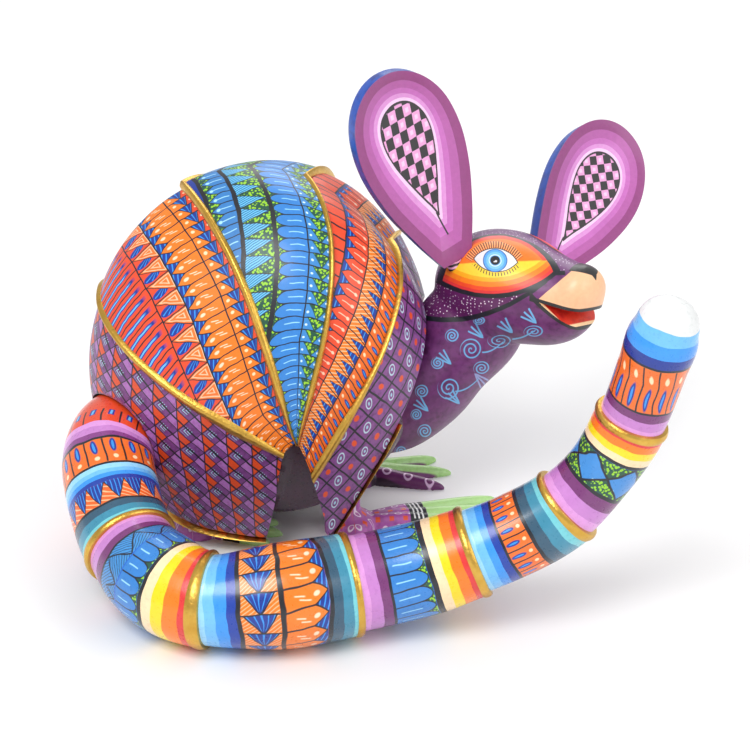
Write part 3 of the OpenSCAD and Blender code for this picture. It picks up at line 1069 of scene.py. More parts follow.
def nested_triangles(paint, x, cell):
    """Orange triangles lined with pale nested strokes, over blue drops."""
    step = paint.fraction(cell * 0.66)
    inside = step - x
    drop = paint.length((x - 0.62) * 1.2, (step - 0.32) * 1.9)
    colour = paint.mix(paint.under(drop, 0.42, 0.04), RED_ORANGE, DARK_BLUE)
    rays = paint.math("ARCTAN2", x - 0.25, step - 0.55)
    light = paint.under(paint.fold(rays * 3), 0.14, 0.08) * paint.under(drop, 0.34, 0.04)
    colour = paint.mix(light, colour, MID_BLUE)
    nearest = paint.least(inside * 0.8, 1 - step, x + 0.06)
    lined = paint.under(paint.fold(nearest * 7 + 0.35), 0.16, 0.08)
    orange = paint.mix(lined, linear(244, 118, 40), linear(255, 200, 160))
    colour = paint.mix(paint.over(inside, 0, 0.03), colour, orange)
    colour = paint.mix(paint.under(abs(inside), 0.025, 0.03), colour, LINE_BLACK)
    return paint.mix(paint.under(paint.fold(cell * 0.66), 0.03, 0.03), colour, LINE_BLACK)


def drop_cells(paint, x, cell):
    """Orange drops with a dot, blue wedges with a fan of strokes, red corners."""
    step = paint.fraction(cell)
    wedge = abs(x - 0.4 - (step - 0.5) * 0.1) - step * 0.32
    blue = paint.under(wedge, 0, 0.04)
    colour = paint.mix(paint.under(x, 0.3, 0.05), ORANGE, RED_ORANGE)
    colour = dot(paint, colour, x, cell, (0.78, 0.5), 0.12, CREAM)
    colour = dot(paint, colour, x, cell, (0.06, 0.45), 0.1, CREAM)
    rays = paint.math("ARCTAN2", x - 0.4, step + 0.05)
    fanned = paint.mix(paint.under(paint.fold(rays * 4.2), 0.13, 0.08), DARK_BLUE, MID_BLUE)
    colour = paint.mix(blue, colour, fanned)
    colour = paint.mix(paint.under(abs(wedge), 0.025, 0.03), colour, LINE_BLACK)
    return cell_line(paint, colour, cell, 0.09)


def green_ground(paint):
    return speckles(paint, DARK_GREEN, LIME, 0.5, 0.62)


def small_blues(paint, x, cell):
    step = paint.fraction(cell)
    wedge = abs(x - 0.38) - step * 0.42
    colour = dot(paint, linear(55, 135, 205), x, cell, (0.84, 0.4), 0.09, linear(215, 245, 255))
    colour = dot(paint, colour, x, cell, (0.04, 0.4), 0.09, linear(215, 245, 255))
    colour = paint.mix(paint.under(wedge, 0, 0.04), colour, green_ground(paint))
    colour = paint.mix(paint.under(abs(wedge), 0.03, 0.03), colour, DARK_GREEN)
    return cell_line(paint, colour, cell, 0.09)


def cyan_triangles(paint, x, cell):
    wide = cell * 0.8
    slant = x * 0.9 + paint.fraction(wide) * 1.4
    blue = hatch(paint, linear(75, 175, 225), slant, 5, linear(12, 60, 120), 0.13)
    blue = hatch(paint, blue, slant + 0.1, 5, linear(140, 215, 250), 0.07)
    return zigzag(paint, x, wide, green_ground(paint), blue)


def loops(paint, x, cell):
    away = paint.length((x - 0.5) * 1.1, paint.fraction(cell) - 0.5)
    ring = paint.under(abs(away - 0.27), 0.05, 0.04)
    return paint.mix(ring, DARK_BLUE, LIGHT_BLUE)


def striped_triangles(paint, x, cell):
    step = paint.fraction(cell)
    orange = hatch(paint, ORANGE, x + step * 0.7, 4.5, linear(255, 200, 150), 0.13)
    blue = hatch(paint, DARK_BLUE, x, 5, MID_BLUE, 0.12)
    side = abs(step - 0.5) * 1.9 - (0.72 - x)
    colour = paint.mix(paint.over(side, 0, 0.04), blue, orange)
    colour = paint.mix(paint.under(abs(side), 0.05, 0.04), colour, LINE_BLACK)
    return cell_line(paint, colour, cell, 0.09)


def red_pickets(paint, x, cell):
    gap = paint.mix(paint.under(paint.fold(x * 6), 0.14, 0.08), DARK_BLUE, MID_BLUE)
    return pickets(paint, x, cell, RED_ORANGE, gap, linear(255, 205, 175), 0.55, dot_at=0.18)


def red_rungs(paint, x, cell):
    colour = dash(paint, RED_ORANGE, x, cell, (0.3, 0.7), 0.5, 0.06, LINE_BLACK)
    return cell_line(paint, colour, cell, 0.14)


def orange_pickets(paint, x, cell):
    gap = paint.mix(paint.under(paint.fold(x * 7 + paint.fraction(cell)), 0.14, 0.08), DARK_BLUE, MID_BLUE)
    return pickets(paint, x, cell, ORANGE, gap, linear(255, 225, 190), 0.6, dot_at=0.66, strokes=2)


def blue_pickets(paint, x, cell):
    stroke = linear(160, 225, 255)
    return pickets(paint, x, cell, BLUE_PICKET, green_ground(paint), stroke, 0.62, round_tip=True)


def narrow_pickets(paint, x, cell):
    body, stroke = linear(50, 125, 195), linear(170, 230, 255)
    return pickets(paint, x, cell, body, green_ground(paint), stroke, 0.5, dot_at=0.7)


def strips(name, rows, seed):
    """A plate painted in strips: rows of each strip's pattern and the distance across
    at which it ends, in millimetres from the rib in front."""
    paint = Paint(name)
    across = paint.shaky(paint.coordinate(0), 0.35, 6, seed)
    cell = paint.shaky(paint.coordinate(1), 0.09, 5, seed + 1)
    colour = LINE_BLACK
    low = 0
    for pattern, high in rows:
        if pattern is not None:
            x = paint.math("DIVIDE", across - low, high - low)
            share = paint.between(across, low + 0.3, high - 0.3, 0.15)
            colour = paint.mix(share, colour, pattern(paint, x, cell))
        low = high
    return paint.finish(colour)


def lattice(name, draw, seed):
    """A plate painted in cells that are counted upright and level round the body."""
    paint = Paint(name)
    x = paint.shaky(paint.coordinate(0), 0.05, 7, seed)
    y = paint.shaky(paint.coordinate(1), 0.05, 7, seed + 1)
    dx, dy = paint.fraction(x) - 0.5, paint.fraction(y) - 0.5
    return paint.finish(draw(paint, x, y, dx, dy))


def mottled(paint, colour, dark, size=4, seed=5):
    return paint.mix(paint.between(paint.noise(size, 4, seed), 0.42, 0.9, 0.25) * 0.75, dark, colour)


def bracket_lattice(paint, x, y, dx, dy):
    """Purple diamonds with nested pale brackets, between orange and lilac halves."""
    reach = abs(dx) + abs(dy)
    rays = paint.math("ARCTAN2", paint.fold(y), paint.fraction(x) + 0.02)
    strokes = paint.under(paint.fold(rays * 6), 0.12, 0.1)
    orange = paint.mix(strokes, linear(232, 82, 28), linear(170, 35, 20))
    lilac = mottled(paint, linear(178, 118, 190), linear(150, 85, 160), 1.2)
    colour = paint.mix(paint.over(dx, 0, 0.02), orange, lilac)
    diamond = mottled(paint, linear(128, 70, 140), linear(92, 40, 100), 1.5)
    along, aside = dx - dy, dx + dy
    corner = paint.most(along * -1, aside * -1)
    nested = paint.under(paint.fold((corner + 0.5) * 6.6), 0.13, 0.08)
    arm = paint.under(paint.most(along, aside), 0.12, 0.03) * paint.between(corner, -0.12, 0.4, 0.03)
    colour = paint.mix(paint.under(reach, 0.5, 0.02), colour, diamond)
    colour = paint.mix(nested * arm * paint.under(reach, 0.43, 0.03), colour, linear(165, 225, 235))
    colour = paint.mix(paint.under(paint.fold(x), 0.025, 0.02), colour, LINE_BLACK)
    colour = paint.mix(paint.under(abs(reach - 0.5), 0.028, 0.02), colour, LINE_BLACK)
    thick = paint.under(paint.fold(x + y), 0.06, 0.02)
    return paint.mix(thick, colour, LINE_BLACK)


def ring_lattice(paint, x, y, dx, dy):
    """Mauve diamonds with pale double rings and orange squares where the lines cross."""
    colour = mottled(paint, linear(150, 85, 160), linear(105, 48, 112), 2)
    away = paint.length(dx * 1.5, dy)
    rings = paint.under(abs(away - 0.2), 0.03, 0.02)
    colour = paint.mix(rings, colour, linear(200, 225, 240))
    colour = paint.mix(paint.under(away, 0.07, 0.03), colour, linear(170, 215, 235))
    lines = paint.least(paint.fold(x + y + 0.5), paint.fold(x - y + 0.5))
    colour = paint.mix(paint.under(lines, 0.05, 0.02), colour, LINE_BLACK)
    other = paint.length(paint.fold(x) * 1.2, paint.fold(y))
    return paint.mix(paint.under(other, 0.13, 0.03), colour, linear(240, 85, 30))


# ---- Tail ----

WARM = (CREAM, YELLOW, linear(255, 125, 5), RED)
COOL = (DEEP_TEAL, TEAL, AQUA)
BLUES = (linear(150, 215, 255), LIGHT_BLUE, MID_BLUE, linear(15, 60, 165))
PINKS = (PINK, LILAC, linear(120, 50, 115))


def stripe_rows(parts):
    """Rows of a colour ramp from (width, colour or colours) in order, widths summing to 1."""
    rows, start = [], 0
    for width, colours in parts:
        shades = colours if isinstance(colours[0], tuple) else (colours,)
        for shade in shades:
            rows.append((min(start, 1), shade))
            start += width / len(shades)
    return rows


def tail_material(number, parts, patterns, turn_cells):
    """One length of the tail between two gilded rings: stripes round it, and patterned
    strips in their place; each pattern says from where to where along the length."""
    paint = Paint(f"tail_paint_{number}")
    share = paint.shaky(paint.coordinate(0) - number, 0.012, 9, number)
    colour = paint.bands(share, stripe_rows(parts))
    turn = paint.math("ARCTAN2", paint.coordinate(2), paint.coordinate(1)) / math.tau
    for pattern, low, high in patterns:
        cell = paint.shaky(turn * turn_cells, 0.07, 8, number + 20)
        x = paint.math("DIVIDE", share - low, high - low)
        inside = paint.between(share, low, high, 0.006)
        colour = paint.mix(inside, colour, pattern(paint, x, cell))
    return paint.finish(colour, coat=0.5, roughness=0.3)


def orange_bars(paint, x, cell):
    return bars_and_dots(paint, x, cell, linear(242, 112, 28))


def slanted_pickets(paint, x, cell):
    return orange_pickets(paint, x, cell + x * 0.35)


def blue_diamonds(paint, x, cell):
    dx, dy = x * 2, cell
    rising, falling = dx * 0.5 + dy * 0.5, dx * 0.5 - dy * 0.5
    lines = paint.under(paint.least(paint.fold(rising), paint.fold(falling)), 0.045, 0.03)
    steps = paint.math("FLOOR", rising) + paint.math("FLOOR", falling)
    checker = paint.fraction(steps * 0.5)
    blue = dot(paint, linear(60, 140, 215), x * 2, cell, (0.5, 0.5), 0.1, linear(190, 235, 255))
    colour = paint.mix(paint.over(checker, 0.25, 0.02), blue, green_ground(paint))
    return paint.mix(lines, colour, LINE_BLACK)


def striped_blues(paint, x, cell):
    step = paint.fraction(cell) * 0.8
    rising = hatch(paint, linear(60, 145, 215), x * 1.2 + step, 5, linear(15, 50, 90), 0.12)
    falling = hatch(paint, linear(60, 145, 215), x * 1.2 - step, 5, linear(15, 50, 90), 0.12)
    return zigzag(paint, x, cell * 0.5, rising, falling)


def orange_teeth(paint, x, cell):
    step = paint.fraction(cell)
    orange = hatch(paint, linear(240, 100, 30), x + step * 0.5, 4, linear(255, 190, 140), 0.13)
    blue = hatch(paint, DARK_BLUE, step, 5, MID_BLUE, 0.12)
    return zigzag(paint, x, cell, blue, orange)


def tail_materials():
    black = LINE_BLACK
    segments = [
        ([(0.10, RED_ORANGE), (0.13, (PINK, LILAC, VIOLET)), (0.02, black), (0.2, ORANGE), (0.02, black),
          (0.15, BLUES), (0.16, ORANGE), (0.02, black), (0.2, COOL)],
         [(red_bars, 0, 0.1), (orange_bars, 0.25, 0.45), (orange_teeth, 0.62, 0.78)], 15),
        ([(0.25, PINKS), (0.02, black), (0.38, BLUE), (0.03, black), (0.32, WARM)],
         [(striped_blues, 0.27, 0.43), (blue_pickets, 0.44, 0.65)], 17),
        ([(0.23, BLUES), (0.03, black), (0.22, ORANGE), (0.03, black), (0.24, ORANGE), (0.03, black),
          (0.22, COOL)],
         [(hourglasses, 0.26, 0.48), (slanted_pickets, 0.51, 0.75)], 15),
        ([(0.27, PINKS), (0.03, black), (0.33, BLUE), (0.04, black), (0.33, WARM)],
         [(blue_pickets, 0.3, 0.63)], 17),
        ([(0.33, BLUES), (0.03, black), (0.26, ORANGE), (0.03, black), (0.35, COOL)],
         [(orange_bars, 0.36, 0.62)], 19),
        ([(0.34, PINKS), (0.03, black), (0.32, BLUE), (0.03, black), (0.28, WARM)],
         [(blue_diamonds, 0.37, 0.69)], 10),
        ([(0.2, PINKS), (0.02, black), (0.36, ORANGE), (0.02, black), (0.08, DARK_BLUE), (0.09, MID_BLUE),
          (0.09, LIGHT_BLUE), (0.14, WHITE)],
         [(orange_bars, 0.22, 0.58)], 13),
    ]
    return [tail_material(k, parts, marks, cells) for k, (parts, marks, cells) in enumerate(segments)]


# ---- Head paint, laid out as the side of the head is seen ----

HEAD_ACROSS = (0.724, 0.688, -0.048)
HEAD_UP = (-0.072, -0.145, 0.987)
IRIS = (-3.9, 8.4)
LASHES = 26


def circle_depth(paint, x, y, centre, radius):
    """How far inside a circle a place lies, in millimetres; negative outside."""
    return paint.math("SUBTRACT", radius, paint.length(x - centre[0], y - centre[1]))


def spiral(paint, colour, a, b, centre, radius, spot, turns=2.6, width=0.3, squash=1.0, flip=1):
    """A painted spiral with its eye at the centre."""
    dx, dy = a - centre[0], (b - centre[1]) * squash * flip
    away = paint.length(dx, dy)
    angle = paint.math("ARCTAN2", dy, dx) / math.tau
    gap = radius / turns
    arm = paint.fold(away / gap - angle) * gap
    share = paint.under(arm, width, 0.2) * paint.under(away, radius, 0.25)
    return paint.mix(share, colour, spot)


def curl(paint, colour, a, b, start, bend, reach, spot, width=0.28):
    """A stroke that runs level from start and bends up by bend over its reach."""
    along = (a - start[0]) / reach
    off = abs(b - start[1] - along * along * bend)
    return paint.mix(paint.under(off, width, 0.15) * paint.between(along, 0, 1, 0.05), colour, spot)


def dart(paint, colour, a, b, tip, spot, way=-1, length=6.5):
    """Three strokes that meet at a tip and fan out behind it."""
    dx, dy = (a - tip[0]) * way, (b - tip[1]) * -way
    away = paint.length(dx, dy)
    angle = paint.math("ARCTAN2", dy, dx)
    fold = abs(angle - 0.75)
    strokes = paint.least(fold, abs(fold - 0.32)) * away
    share = paint.under(strokes, 0.32, 0.15) * paint.between(away, 0.1, length, 0.3)
    share = share * paint.under(fold, 0.6, 0.1)
    return paint.mix(share, colour, spot)


def fine_dots(paint, spacing, size):
    """Share of white dots about spacing millimetres apart."""
    cells = paint.node("TexVoronoi")
    paint.link(paint.where, cells.inputs["Vector"])
    cells.inputs["Scale"].default_value = 1 / (spacing * MM)
    cells.inputs["Randomness"].default_value = 0.55
    return paint.under(Wire(paint, cells.outputs["Distance"]), size / spacing, 0.1)


def paint_eye(paint, colour, a, b):
    x, y = a - IRIS[0], b - IRIS[1]
    top = circle_depth(paint, x, y, (1.25, -10.8), 20.8)
    low = circle_depth(paint, x, y, (-0.64, 20.9), 33.5)
    near_tip = paint.most(abs(x) - 12, 0) * 0.08
    outline = paint.least(top + 0.8 + near_tip * 2, low + 1.7)
    colour = paint.mix(paint.over(outline, 0, 0.15), colour, LINE_BLACK)
    lower = paint.bands(low / 10, [
        (0, RED), (0.11, linear(240, 75, 30)), (0.25, linear(250, 130, 15)), (0.44, linear(255, 175, 20)),
        (0.6, linear(255, 215, 50)),
    ])
    upper = paint.bands(top / 10, [(0, RED), (0.06, linear(240, 70, 25)), (0.14, linear(252, 120, 15))])
    above = paint.over(y - x * 0.02, -0.6, 0.5)
    fill = paint.mix(above, lower, upper)
    fill = paint.mix(paint.under(low, 1.1, 0.1), fill, RED)
    fill = paint.mix(paint.between(low, 1.1, 2.5, 0.1), fill, linear(240, 75, 30))
    lid_top = circle_depth(paint, x, y, (-0.24, -4.44), 9.04)
    lid_low = circle_depth(paint, x, y, (0.76, 5.21), 9.44)
    turn = paint.math("ARCTAN2", x + 0.24, y + 6.5)
    beyond = lid_top * -1
    lash_zone = paint.between(beyond, 0.35, 3.1, 0.2) * paint.under(abs(turn), 0.92, 0.04)
    lash_zone = lash_zone * paint.over(y, -0.5, 0.3)
    strokes = paint.fold(turn * (LASHES / 1.84))
    fill = paint.mix(lash_zone * paint.over(strokes, 0.3, 0.1), fill, linear(250, 175, 110))
    fill = paint.mix(lash_zone * paint.under(strokes, 0.17, 0.08), fill, LINE_BLACK)
    below = paint.between(lid_low * -1, 0.5, 1.9, 0.15) * paint.under(y, -1.2, 0.2)
    below = below * paint.under(abs(x), 8.6, 0.2)
    low_turn = paint.math("ARCTAN2", x, 9 - y)
    fill = paint.mix(below * paint.under(paint.fold(low_turn * 13), 0.15, 0.08), fill, LINE_BLACK)
    opening = paint.least(lid_top, lid_low)
    fill = paint.mix(paint.over(opening, -0.35, 0.12), fill, LINE_BLACK)
    fill = paint.mix(paint.over(opening, 0, 0.12), fill, WHITE)
    away = paint.length(x, y)
    iris = paint.bands(away / 5, [
        (0, linear(18, 18, 24)), (0.35, linear(90, 170, 230)), (0.4, linear(215, 240, 250)),
        (0.47, linear(125, 200, 250)), (0.66, linear(90, 170, 240)), (0.82, linear(50, 120, 205)),
        (0.87, linear(25, 60, 120)),
    ])
    inside = paint.under(away, 4.5, 0.12) * paint.over(opening, -0.3, 0.12)
    fill = paint.mix(inside, fill, iris)
    fill = paint.mix(paint.under(paint.length(x - 0.3, y + 0.35), 0.42, 0.15), fill, WHITE)
    fill = paint.mix(paint.under(paint.length(x + 0.35, y + 0.5), 0.25, 0.12), fill, WHITE)
    return paint.mix(paint.over(paint.least(top, low), 0, 0.12), colour, fill)


def paint_muzzle(paint, colour, ahead, aside, height, a, b):
    """Peach muzzle with a black nose and black lips along the edges of the mouth."""
    past_corner = ahead - 30
    upper_lip = height + 3.5 + paint.least(past_corner, 13) * 0.31
    lower_lip = (height + 3.5 + past_corner * 1.05) * 0.69
    back = a - 12.4 - (b + 5.9) * 1.15
    peach = paint.over(back, 0, 0.2) * paint.over(upper_lip, 0, 0.2) * paint.over(ahead, 24, 0.2)
    colour = paint.mix(peach, colour, PEACH)
    nose = height - 3.6 - paint.least(aside * 1.5, aside * 0.4 + 1.6)
    nose = paint.over(nose, 0, 0.15) * paint.over(ahead, 38, 0.2)
    upper = paint.under(abs(upper_lip - 0.4), 0.9, 0.15)
    lower = paint.under(abs(lower_lip + 0.5), 0.9, 0.15)
    lips = paint.most(upper, lower) * paint.over(ahead, 26.5, 0.2)
    return paint.mix(paint.most(nose, lips), colour, linear(38, 36, 38))


def paint_head():
    paint = Paint("head_paint")
    ahead, aside, height = paint.coordinate(0), abs(paint.coordinate(1)), paint.coordinate(2)
    a = ahead * HEAD_ACROSS[0] - aside * HEAD_ACROSS[1] + height * HEAD_ACROSS[2]
    b = height * HEAD_UP[2] + aside * HEAD_UP[1] + ahead * HEAD_UP[0]
    a = paint.shaky(a, 0.12, 4, 1)
    b = paint.shaky(b, 0.12, 4, 2)
    colour = mottled(paint, linear(128, 58, 128), linear(92, 32, 92), 9, 3)
    colour = mottled(paint, colour, linear(84, 26, 84), 2.2, 4)
    spots = paint.node("TexVoronoi")
    paint.link(paint.where, spots.inputs["Vector"])
    spots.inputs["Scale"].default_value = 1000 / 9
    blot = paint.under(Wire(paint, spots.outputs["Distance"]), 0.13, 0.06) * 0.8
    colour = paint.mix(blot, colour, PLUM)
    light = linear(110, 180, 230)
    for centre, radius, squash, flip in [
        ((-19.6, -19.7), 2.6, 1, 1), ((-12.3, -24.9), 4.2, 1, 1), ((-1.5, -21.6), 4.6, 1.7, -1),
        ((10.4, -18.4), 3.6, 1.6, 1), ((-9.6, -14), 2.2, 1.4, -1), ((-20.6, -39.6), 4.4, 1, -1),
        ((-29.6, -56.6), 2.8, 1, 1), ((-38.9, -64.6), 2.4, 1, -1), ((-31, -41), 2.6, 1, 1),
        ((-8, -32), 3.2, 1.2, 1), ((-25, -30), 2.4, 1, -1), ((-33, -50), 2.2, 1, 1),
    ]:
        colour = spiral(paint, colour, a, b, centre, radius, light, 2.4, 0.27, squash, flip)
    for tip in [(-7.7, -20.6), (2.9, -18.9), (11.3, -15.5), (-19.7, -30.6), (-28.3, -48.7), (-16, -46)]:
        colour = dart(paint, colour, a, b, tip, light)
    for tip in [(-10.8, -34), (9.3, -23.4), (-24, -62)]:
        colour = dart(paint, colour, a, b, tip, linear(150, 160, 215), 1)
    for start, bend, reach in [((3, -21), 3.2, 8), ((-8, -26), 4, 8), ((-18, -41), 5, 9)]:
        colour = curl(paint, colour, a, b, start, bend, reach, light)
    cheek = b + 9.7 - (a + 2) * 0.4167 - (a + 2) * (a + 2) * 0.01124
    side = paint.under(b, 12, 0.1)
    dotted = paint.over(cheek, 0, 0.2) * paint.under(a, 14, 0.3) * paint.over(ahead, -24, 0.5)
    white_dots = fine_dots(paint, 1.25, 0.27)
    plum = paint.mix(white_dots, linear(92, 26, 88), linear(240, 225, 240))
    colour = paint.mix(dotted * side, colour, plum)
    top = circle_depth(paint, a - IRIS[0], b - IRIS[1], (1.25, -10.8), 21.6)
    forehead = paint.under(top, 0, 0.2) * paint.over(b - (a - 14) * 0.02, 3.2, 0.2)
    forehead = forehead * paint.over(ahead, -24, 1)
    grey = paint.mix(white_dots * 0.8, linear(108, 58, 112), linear(225, 205, 230))
    colour = paint.mix(forehead, colour, grey)
    band = paint.under(abs(cheek), 0.95, 0.2) * paint.under(a, 15, 0.5) * paint.over(ahead, -25, 0.5)
    colour = paint.mix(band, colour, LINE_BLACK)
    bridge = paint.under(abs(b - 3.1 - (a - 17) * 0.02), 0.8, 0.2) * paint.between(a, 14, 21.5, 0.3)
    colour = paint.mix(bridge, colour, LINE_BLACK)
    px, py = (a - 17) * 0.8 - (b - 15.4) * 0.6, (a - 17) * 0.6 + (b - 15.4) * 0.8
    patch = paint.under(paint.length(px / 5.6, py / 2.6), 1, 0.05)
    swirl = spiral(paint, linear(70, 120, 205), px, py, (0, 0), 5.6, LIGHT_BLUE, 3.6, 0.32, 2.1)
    colour = paint.mix(patch, colour, swirl)
    colour = paint_eye(paint, colour, a, b)
    colour = paint_muzzle(paint, colour, ahead, aside, height, a, b)
    return paint.finish(colour, bump=0.2, coat=0.25)


# ---- Ear paint ----

def paint_ear(name, lean):
    paint = Paint(name + "_paint")
    x, y, band = paint.coordinate(0), paint.coordinate(1), paint.coordinate(2)
    shaky_band = paint.shaky(band, 0.012, 9, 2)
    stripes = paint.bands(shaky_band, [
        (0, CHECK_BLACK), (0.03, linear(245, 205, 240)), (0.13, linear(222, 150, 215)),
        (0.27, linear(200, 112, 190)), (0.45, linear(184, 98, 170)), (0.7, linear(150, 70, 130)),
    ])
    along, across = (y + x * lean) / 4.5, (x - y * 0.16) / 3.2
    if lean:
        along, across = (y / 3.4 + x / 3.0) * 0.62, (y / 3.4 - x / 3.0) * 0.62
    along, across = paint.shaky(along, 0.06, 6, 3), paint.shaky(across, 0.06, 6, 4)
    parity = paint.math("FLOOR", along) + paint.math("FLOOR", across)
    pink = paint.fold(parity * 0.5)
    centre = paint.most(abs(paint.fraction(along) - 0.5), abs(paint.fraction(across) - 0.5))
    pinks = paint.mix(paint.under(centre, 0.2, 0.08), CHECK_PINK, linear(248, 205, 235))
    check = paint.mix(paint.over(pink, 0.25, 0.02), CHECK_BLACK, pinks)
    colour = paint.mix(paint.over(shaky_band, -0.03, 0.02), check, stripes)
    stem = paint.under(abs(x - 0.6 - (17 - y) * 0.06), 0.32, 0.12) * paint.between(y, 9, 19, 0.4)
    stem = stem * paint.over(band, 0, 0.05) * paint.under(band, 0.9, 0.05)
    colour = paint.mix(stem, colour, CHECK_BLACK)
    back = paint.mix(paint.over(y, 30, 30), linear(5, 60, 165), linear(20, 85, 190))
    back = mottled(paint, back, linear(4, 44, 135), 3, 7)
    colour = paint.mix(paint.over(band, 1.05, 0.02), colour, back)
    return paint.finish(colour, stroke=0.16, coat=0.25)


# ---- Foot paint ----

def paint_foot(name, claws_from):
    """Mauve feet with orange squares and pale ovals, black cuffs, and long painted claws."""
    paint = Paint(name + "_paint")
    along, across, toe = paint.coordinate(0), paint.coordinate(1), paint.coordinate(2)
    ground = mottled(paint, linear(188, 100, 185), linear(150, 70, 150), 3, 8)
    grid_x, grid_y = along / 5.5, across / 4.2 + toe * 0.5
    square = paint.most(paint.fold(grid_x), paint.fold(grid_y))
    ground = paint.mix(paint.under(square, 0.17, 0.04), ground, linear(235, 85, 45))
    oval = paint.length((paint.fraction(grid_x) - 0.5) * 1.0, (paint.fraction(grid_y) - 0.5) * 1.6)
    ground = paint.mix(paint.under(abs(oval - 0.22), 0.05, 0.04), ground, linear(235, 215, 240))
    claw = paint.bands((across + 5) / 10, [
        (0, linear(60, 30, 60)), (0.12, CLAW_GREEN), (0.6, WHITE), (0.78, linear(60, 30, 60)),
    ])
    colour = paint.mix(paint.over(along, claws_from, 0.3), ground, claw)
    cuff = paint.between(along, claws_from - 7, claws_from, 0.3)
    strokes = paint.under(paint.fold(along / 1.7 + across * 0.08), 0.2, 0.08)
    strokes = strokes * paint.under(abs(across), 2.2, 0.3)
    strokes = strokes * paint.between(along, claws_from - 5.6, claws_from - 1, 0.2)
    dark = paint.mix(strokes, LINE_BLACK, WHITE)
    colour = paint.mix(cuff, colour, dark)
    return paint.finish(colour, coat=0.4)


def paint_far_foot(name):
    """Painted fingers: the inner one purple with pale rings, the outer ones green."""
    paint = Paint(name + "_paint")
    along, across, toe = paint.coordinate(0), paint.coordinate(1), paint.coordinate(2)
    ring = abs(paint.length((paint.fraction(along / 9) - 0.5) * 2.2, (across + 0.8) / 3.6) - 0.4)
    purple = paint.mix(paint.under(ring, 0.09, 0.05), linear(105, 38, 100), linear(225, 190, 225))
    purple = paint.mix(paint.over(across, 1.2, 0.2), purple, linear(235, 232, 238))
    green = mottled(paint, CLAW_GREEN, linear(150, 200, 110), 2, 9)
    green = paint.mix(paint.over(abs(across), 2.6, 0.3), green, linear(110, 50, 105))
    colour = paint.mix(paint.over(toe, -0.5, 0.1), purple, green)
    colour = paint.mix(paint.over(abs(across), 3.4, 0.3), colour, linear(45, 20, 45))
    palm = mottled(paint, linear(150, 75, 150), linear(110, 45, 110), 3, 10)
    colour = paint.mix(paint.under(along, 8, 0.5), colour, palm)
    return paint.finish(colour, coat=0.4)


def paint_mouth():
    paint = Paint("mouth_paint")
    ahead, aside = paint.coordinate(0), abs(paint.coordinate(1))
    red = mottled(paint, linear(225, 60, 40), linear(180, 30, 30), 3, 6)
    rim = paint.most(aside + (ahead - 30) * 0.4 - 13.2, ahead - 38.4)
    colour = paint.mix(paint.over(rim, 0, 0.2), red, CREAM)
    front = paint.coordinate(2) * -1
    colour = paint.mix(paint.over(front, 13.4, 0.1), colour, LINE_BLACK)
    colour = paint.mix(paint.over(front, 14.9, 0.1), colour, PLUM)
    return paint.finish(colour, coat=0.3)


def paint_belly():
    """Smooth dark plum wood, with painted shade that makes it nearly black where it turns under and darker
    again high up inside the shell.
    """
    paint = Paint("belly_paint")
    height = paint.coordinate(2)
    # Painted shade: below about 8 mm and above about 60 mm of height the plum fades towards near black.
    colour = paint.mix(paint.between(height, 8, 60, 30), linear(40, 6, 34), linear(80, 14, 68))
    return paint.finish(mottled(paint, colour, linear(50, 8, 42), 6, 14), coat=0.5, roughness=0.3)


# ---- Camera, light and floor ----

LOOK_AT = (46, -10, 62)
CAMERA_DISTANCE = 810
CAMERA_ELEVATION = 25
LENS = 100
SENSOR = 36
FLOOR_SIZE = 6


def aim(thing, place, target):
    thing.location = place
    thing.rotation_euler = (target - place).to_track_quat("-Z", "Y").to_euler()


def add_camera():
    data = bpy.data.cameras.new("camera")
    data.lens = LENS
    data.sensor_width = SENSOR
    camera = bpy.data.objects.new("camera", data)
    bpy.context.scene.collection.objects.link(camera)
    target = placed(LOOK_AT)
    rise = math.radians(CAMERA_ELEVATION)
    aim(camera, target + Vector((0, -math.cos(rise), math.sin(rise))) * CAMERA_DISTANCE * MM, target)
    bpy.context.scene.camera = camera


def add_softbox(name, place, target, size, watts):
    data = bpy.data.lights.new(name, "AREA")
    data.shape = "SQUARE"
    data.size = size
    data.energy = watts
    light = bpy.data.objects.new(name, data)
    bpy.context.scene.collection.objects.link(light)
    aim(light, Vector(place), target)


def add_light():
    middle = placed((20, -20, 60))
    add_softbox("key_light", (-0.45, -0.75, 1.15), middle, 0.7, 11)
    add_softbox("fill_light", (0.95, -0.55, 0.7), middle, 0.8, 4)
    add_softbox("back_light", (0.1, 1.0, 0.9), middle, 0.8, 5)
    world = bpy.data.worlds.new("studio")
    bpy.context.scene.world = world
    world.use_nodes = True
    background = world.node_tree.nodes["Background"]
    background.inputs["Color"].default_value = (1, 1, 1, 1)
    background.inputs["Strength"].default_value = 0.62
    bpy.context.scene.view_settings.view_transform = "Standard"


def add_floor():
    mesh = bpy.data.meshes.new("floor")
    half = FLOOR_SIZE / 2
    corners = [(-half, -half, 0), (half, -half, 0), (half, half, 0), (-half, half, 0)]
    mesh.from_pydata(corners, [], [(0, 1, 2, 3)])
    floor = bpy.data.objects.new("floor", mesh)
    bpy.context.scene.collection.objects.link(floor)
    material = bpy.data.materials.new("floor_paper")
    material.use_nodes = True
    shader = material.node_tree.nodes["Principled BSDF"]
    shader.inputs["Base Color"].default_value = (0.92, 0.92, 0.92, 1)
    shader.inputs["Roughness"].default_value = 0.9
    mesh.materials.append(material)


# ---- Putting the figure together ----

def latticed(solid, radius, column, row):
    """Paints a plate in upright columns and level rows instead, counted round the body."""
    solid.paints = [
        (radius * math.atan2(p.x, -p.y) / column, p.z / row, 0) for p in solid.points
    ]
    return solid


def tail_recess():
    """The hollow in the shell and the body that the root of the tail stands in."""
    return rod(
        "tail_recess", tail_seat, tail_turn_in, TAIL_ROOT_RADIUS + RECESS_CLEARANCE, -RECESS_LENGTH, 0.3,
        (0.5, 0, 0))


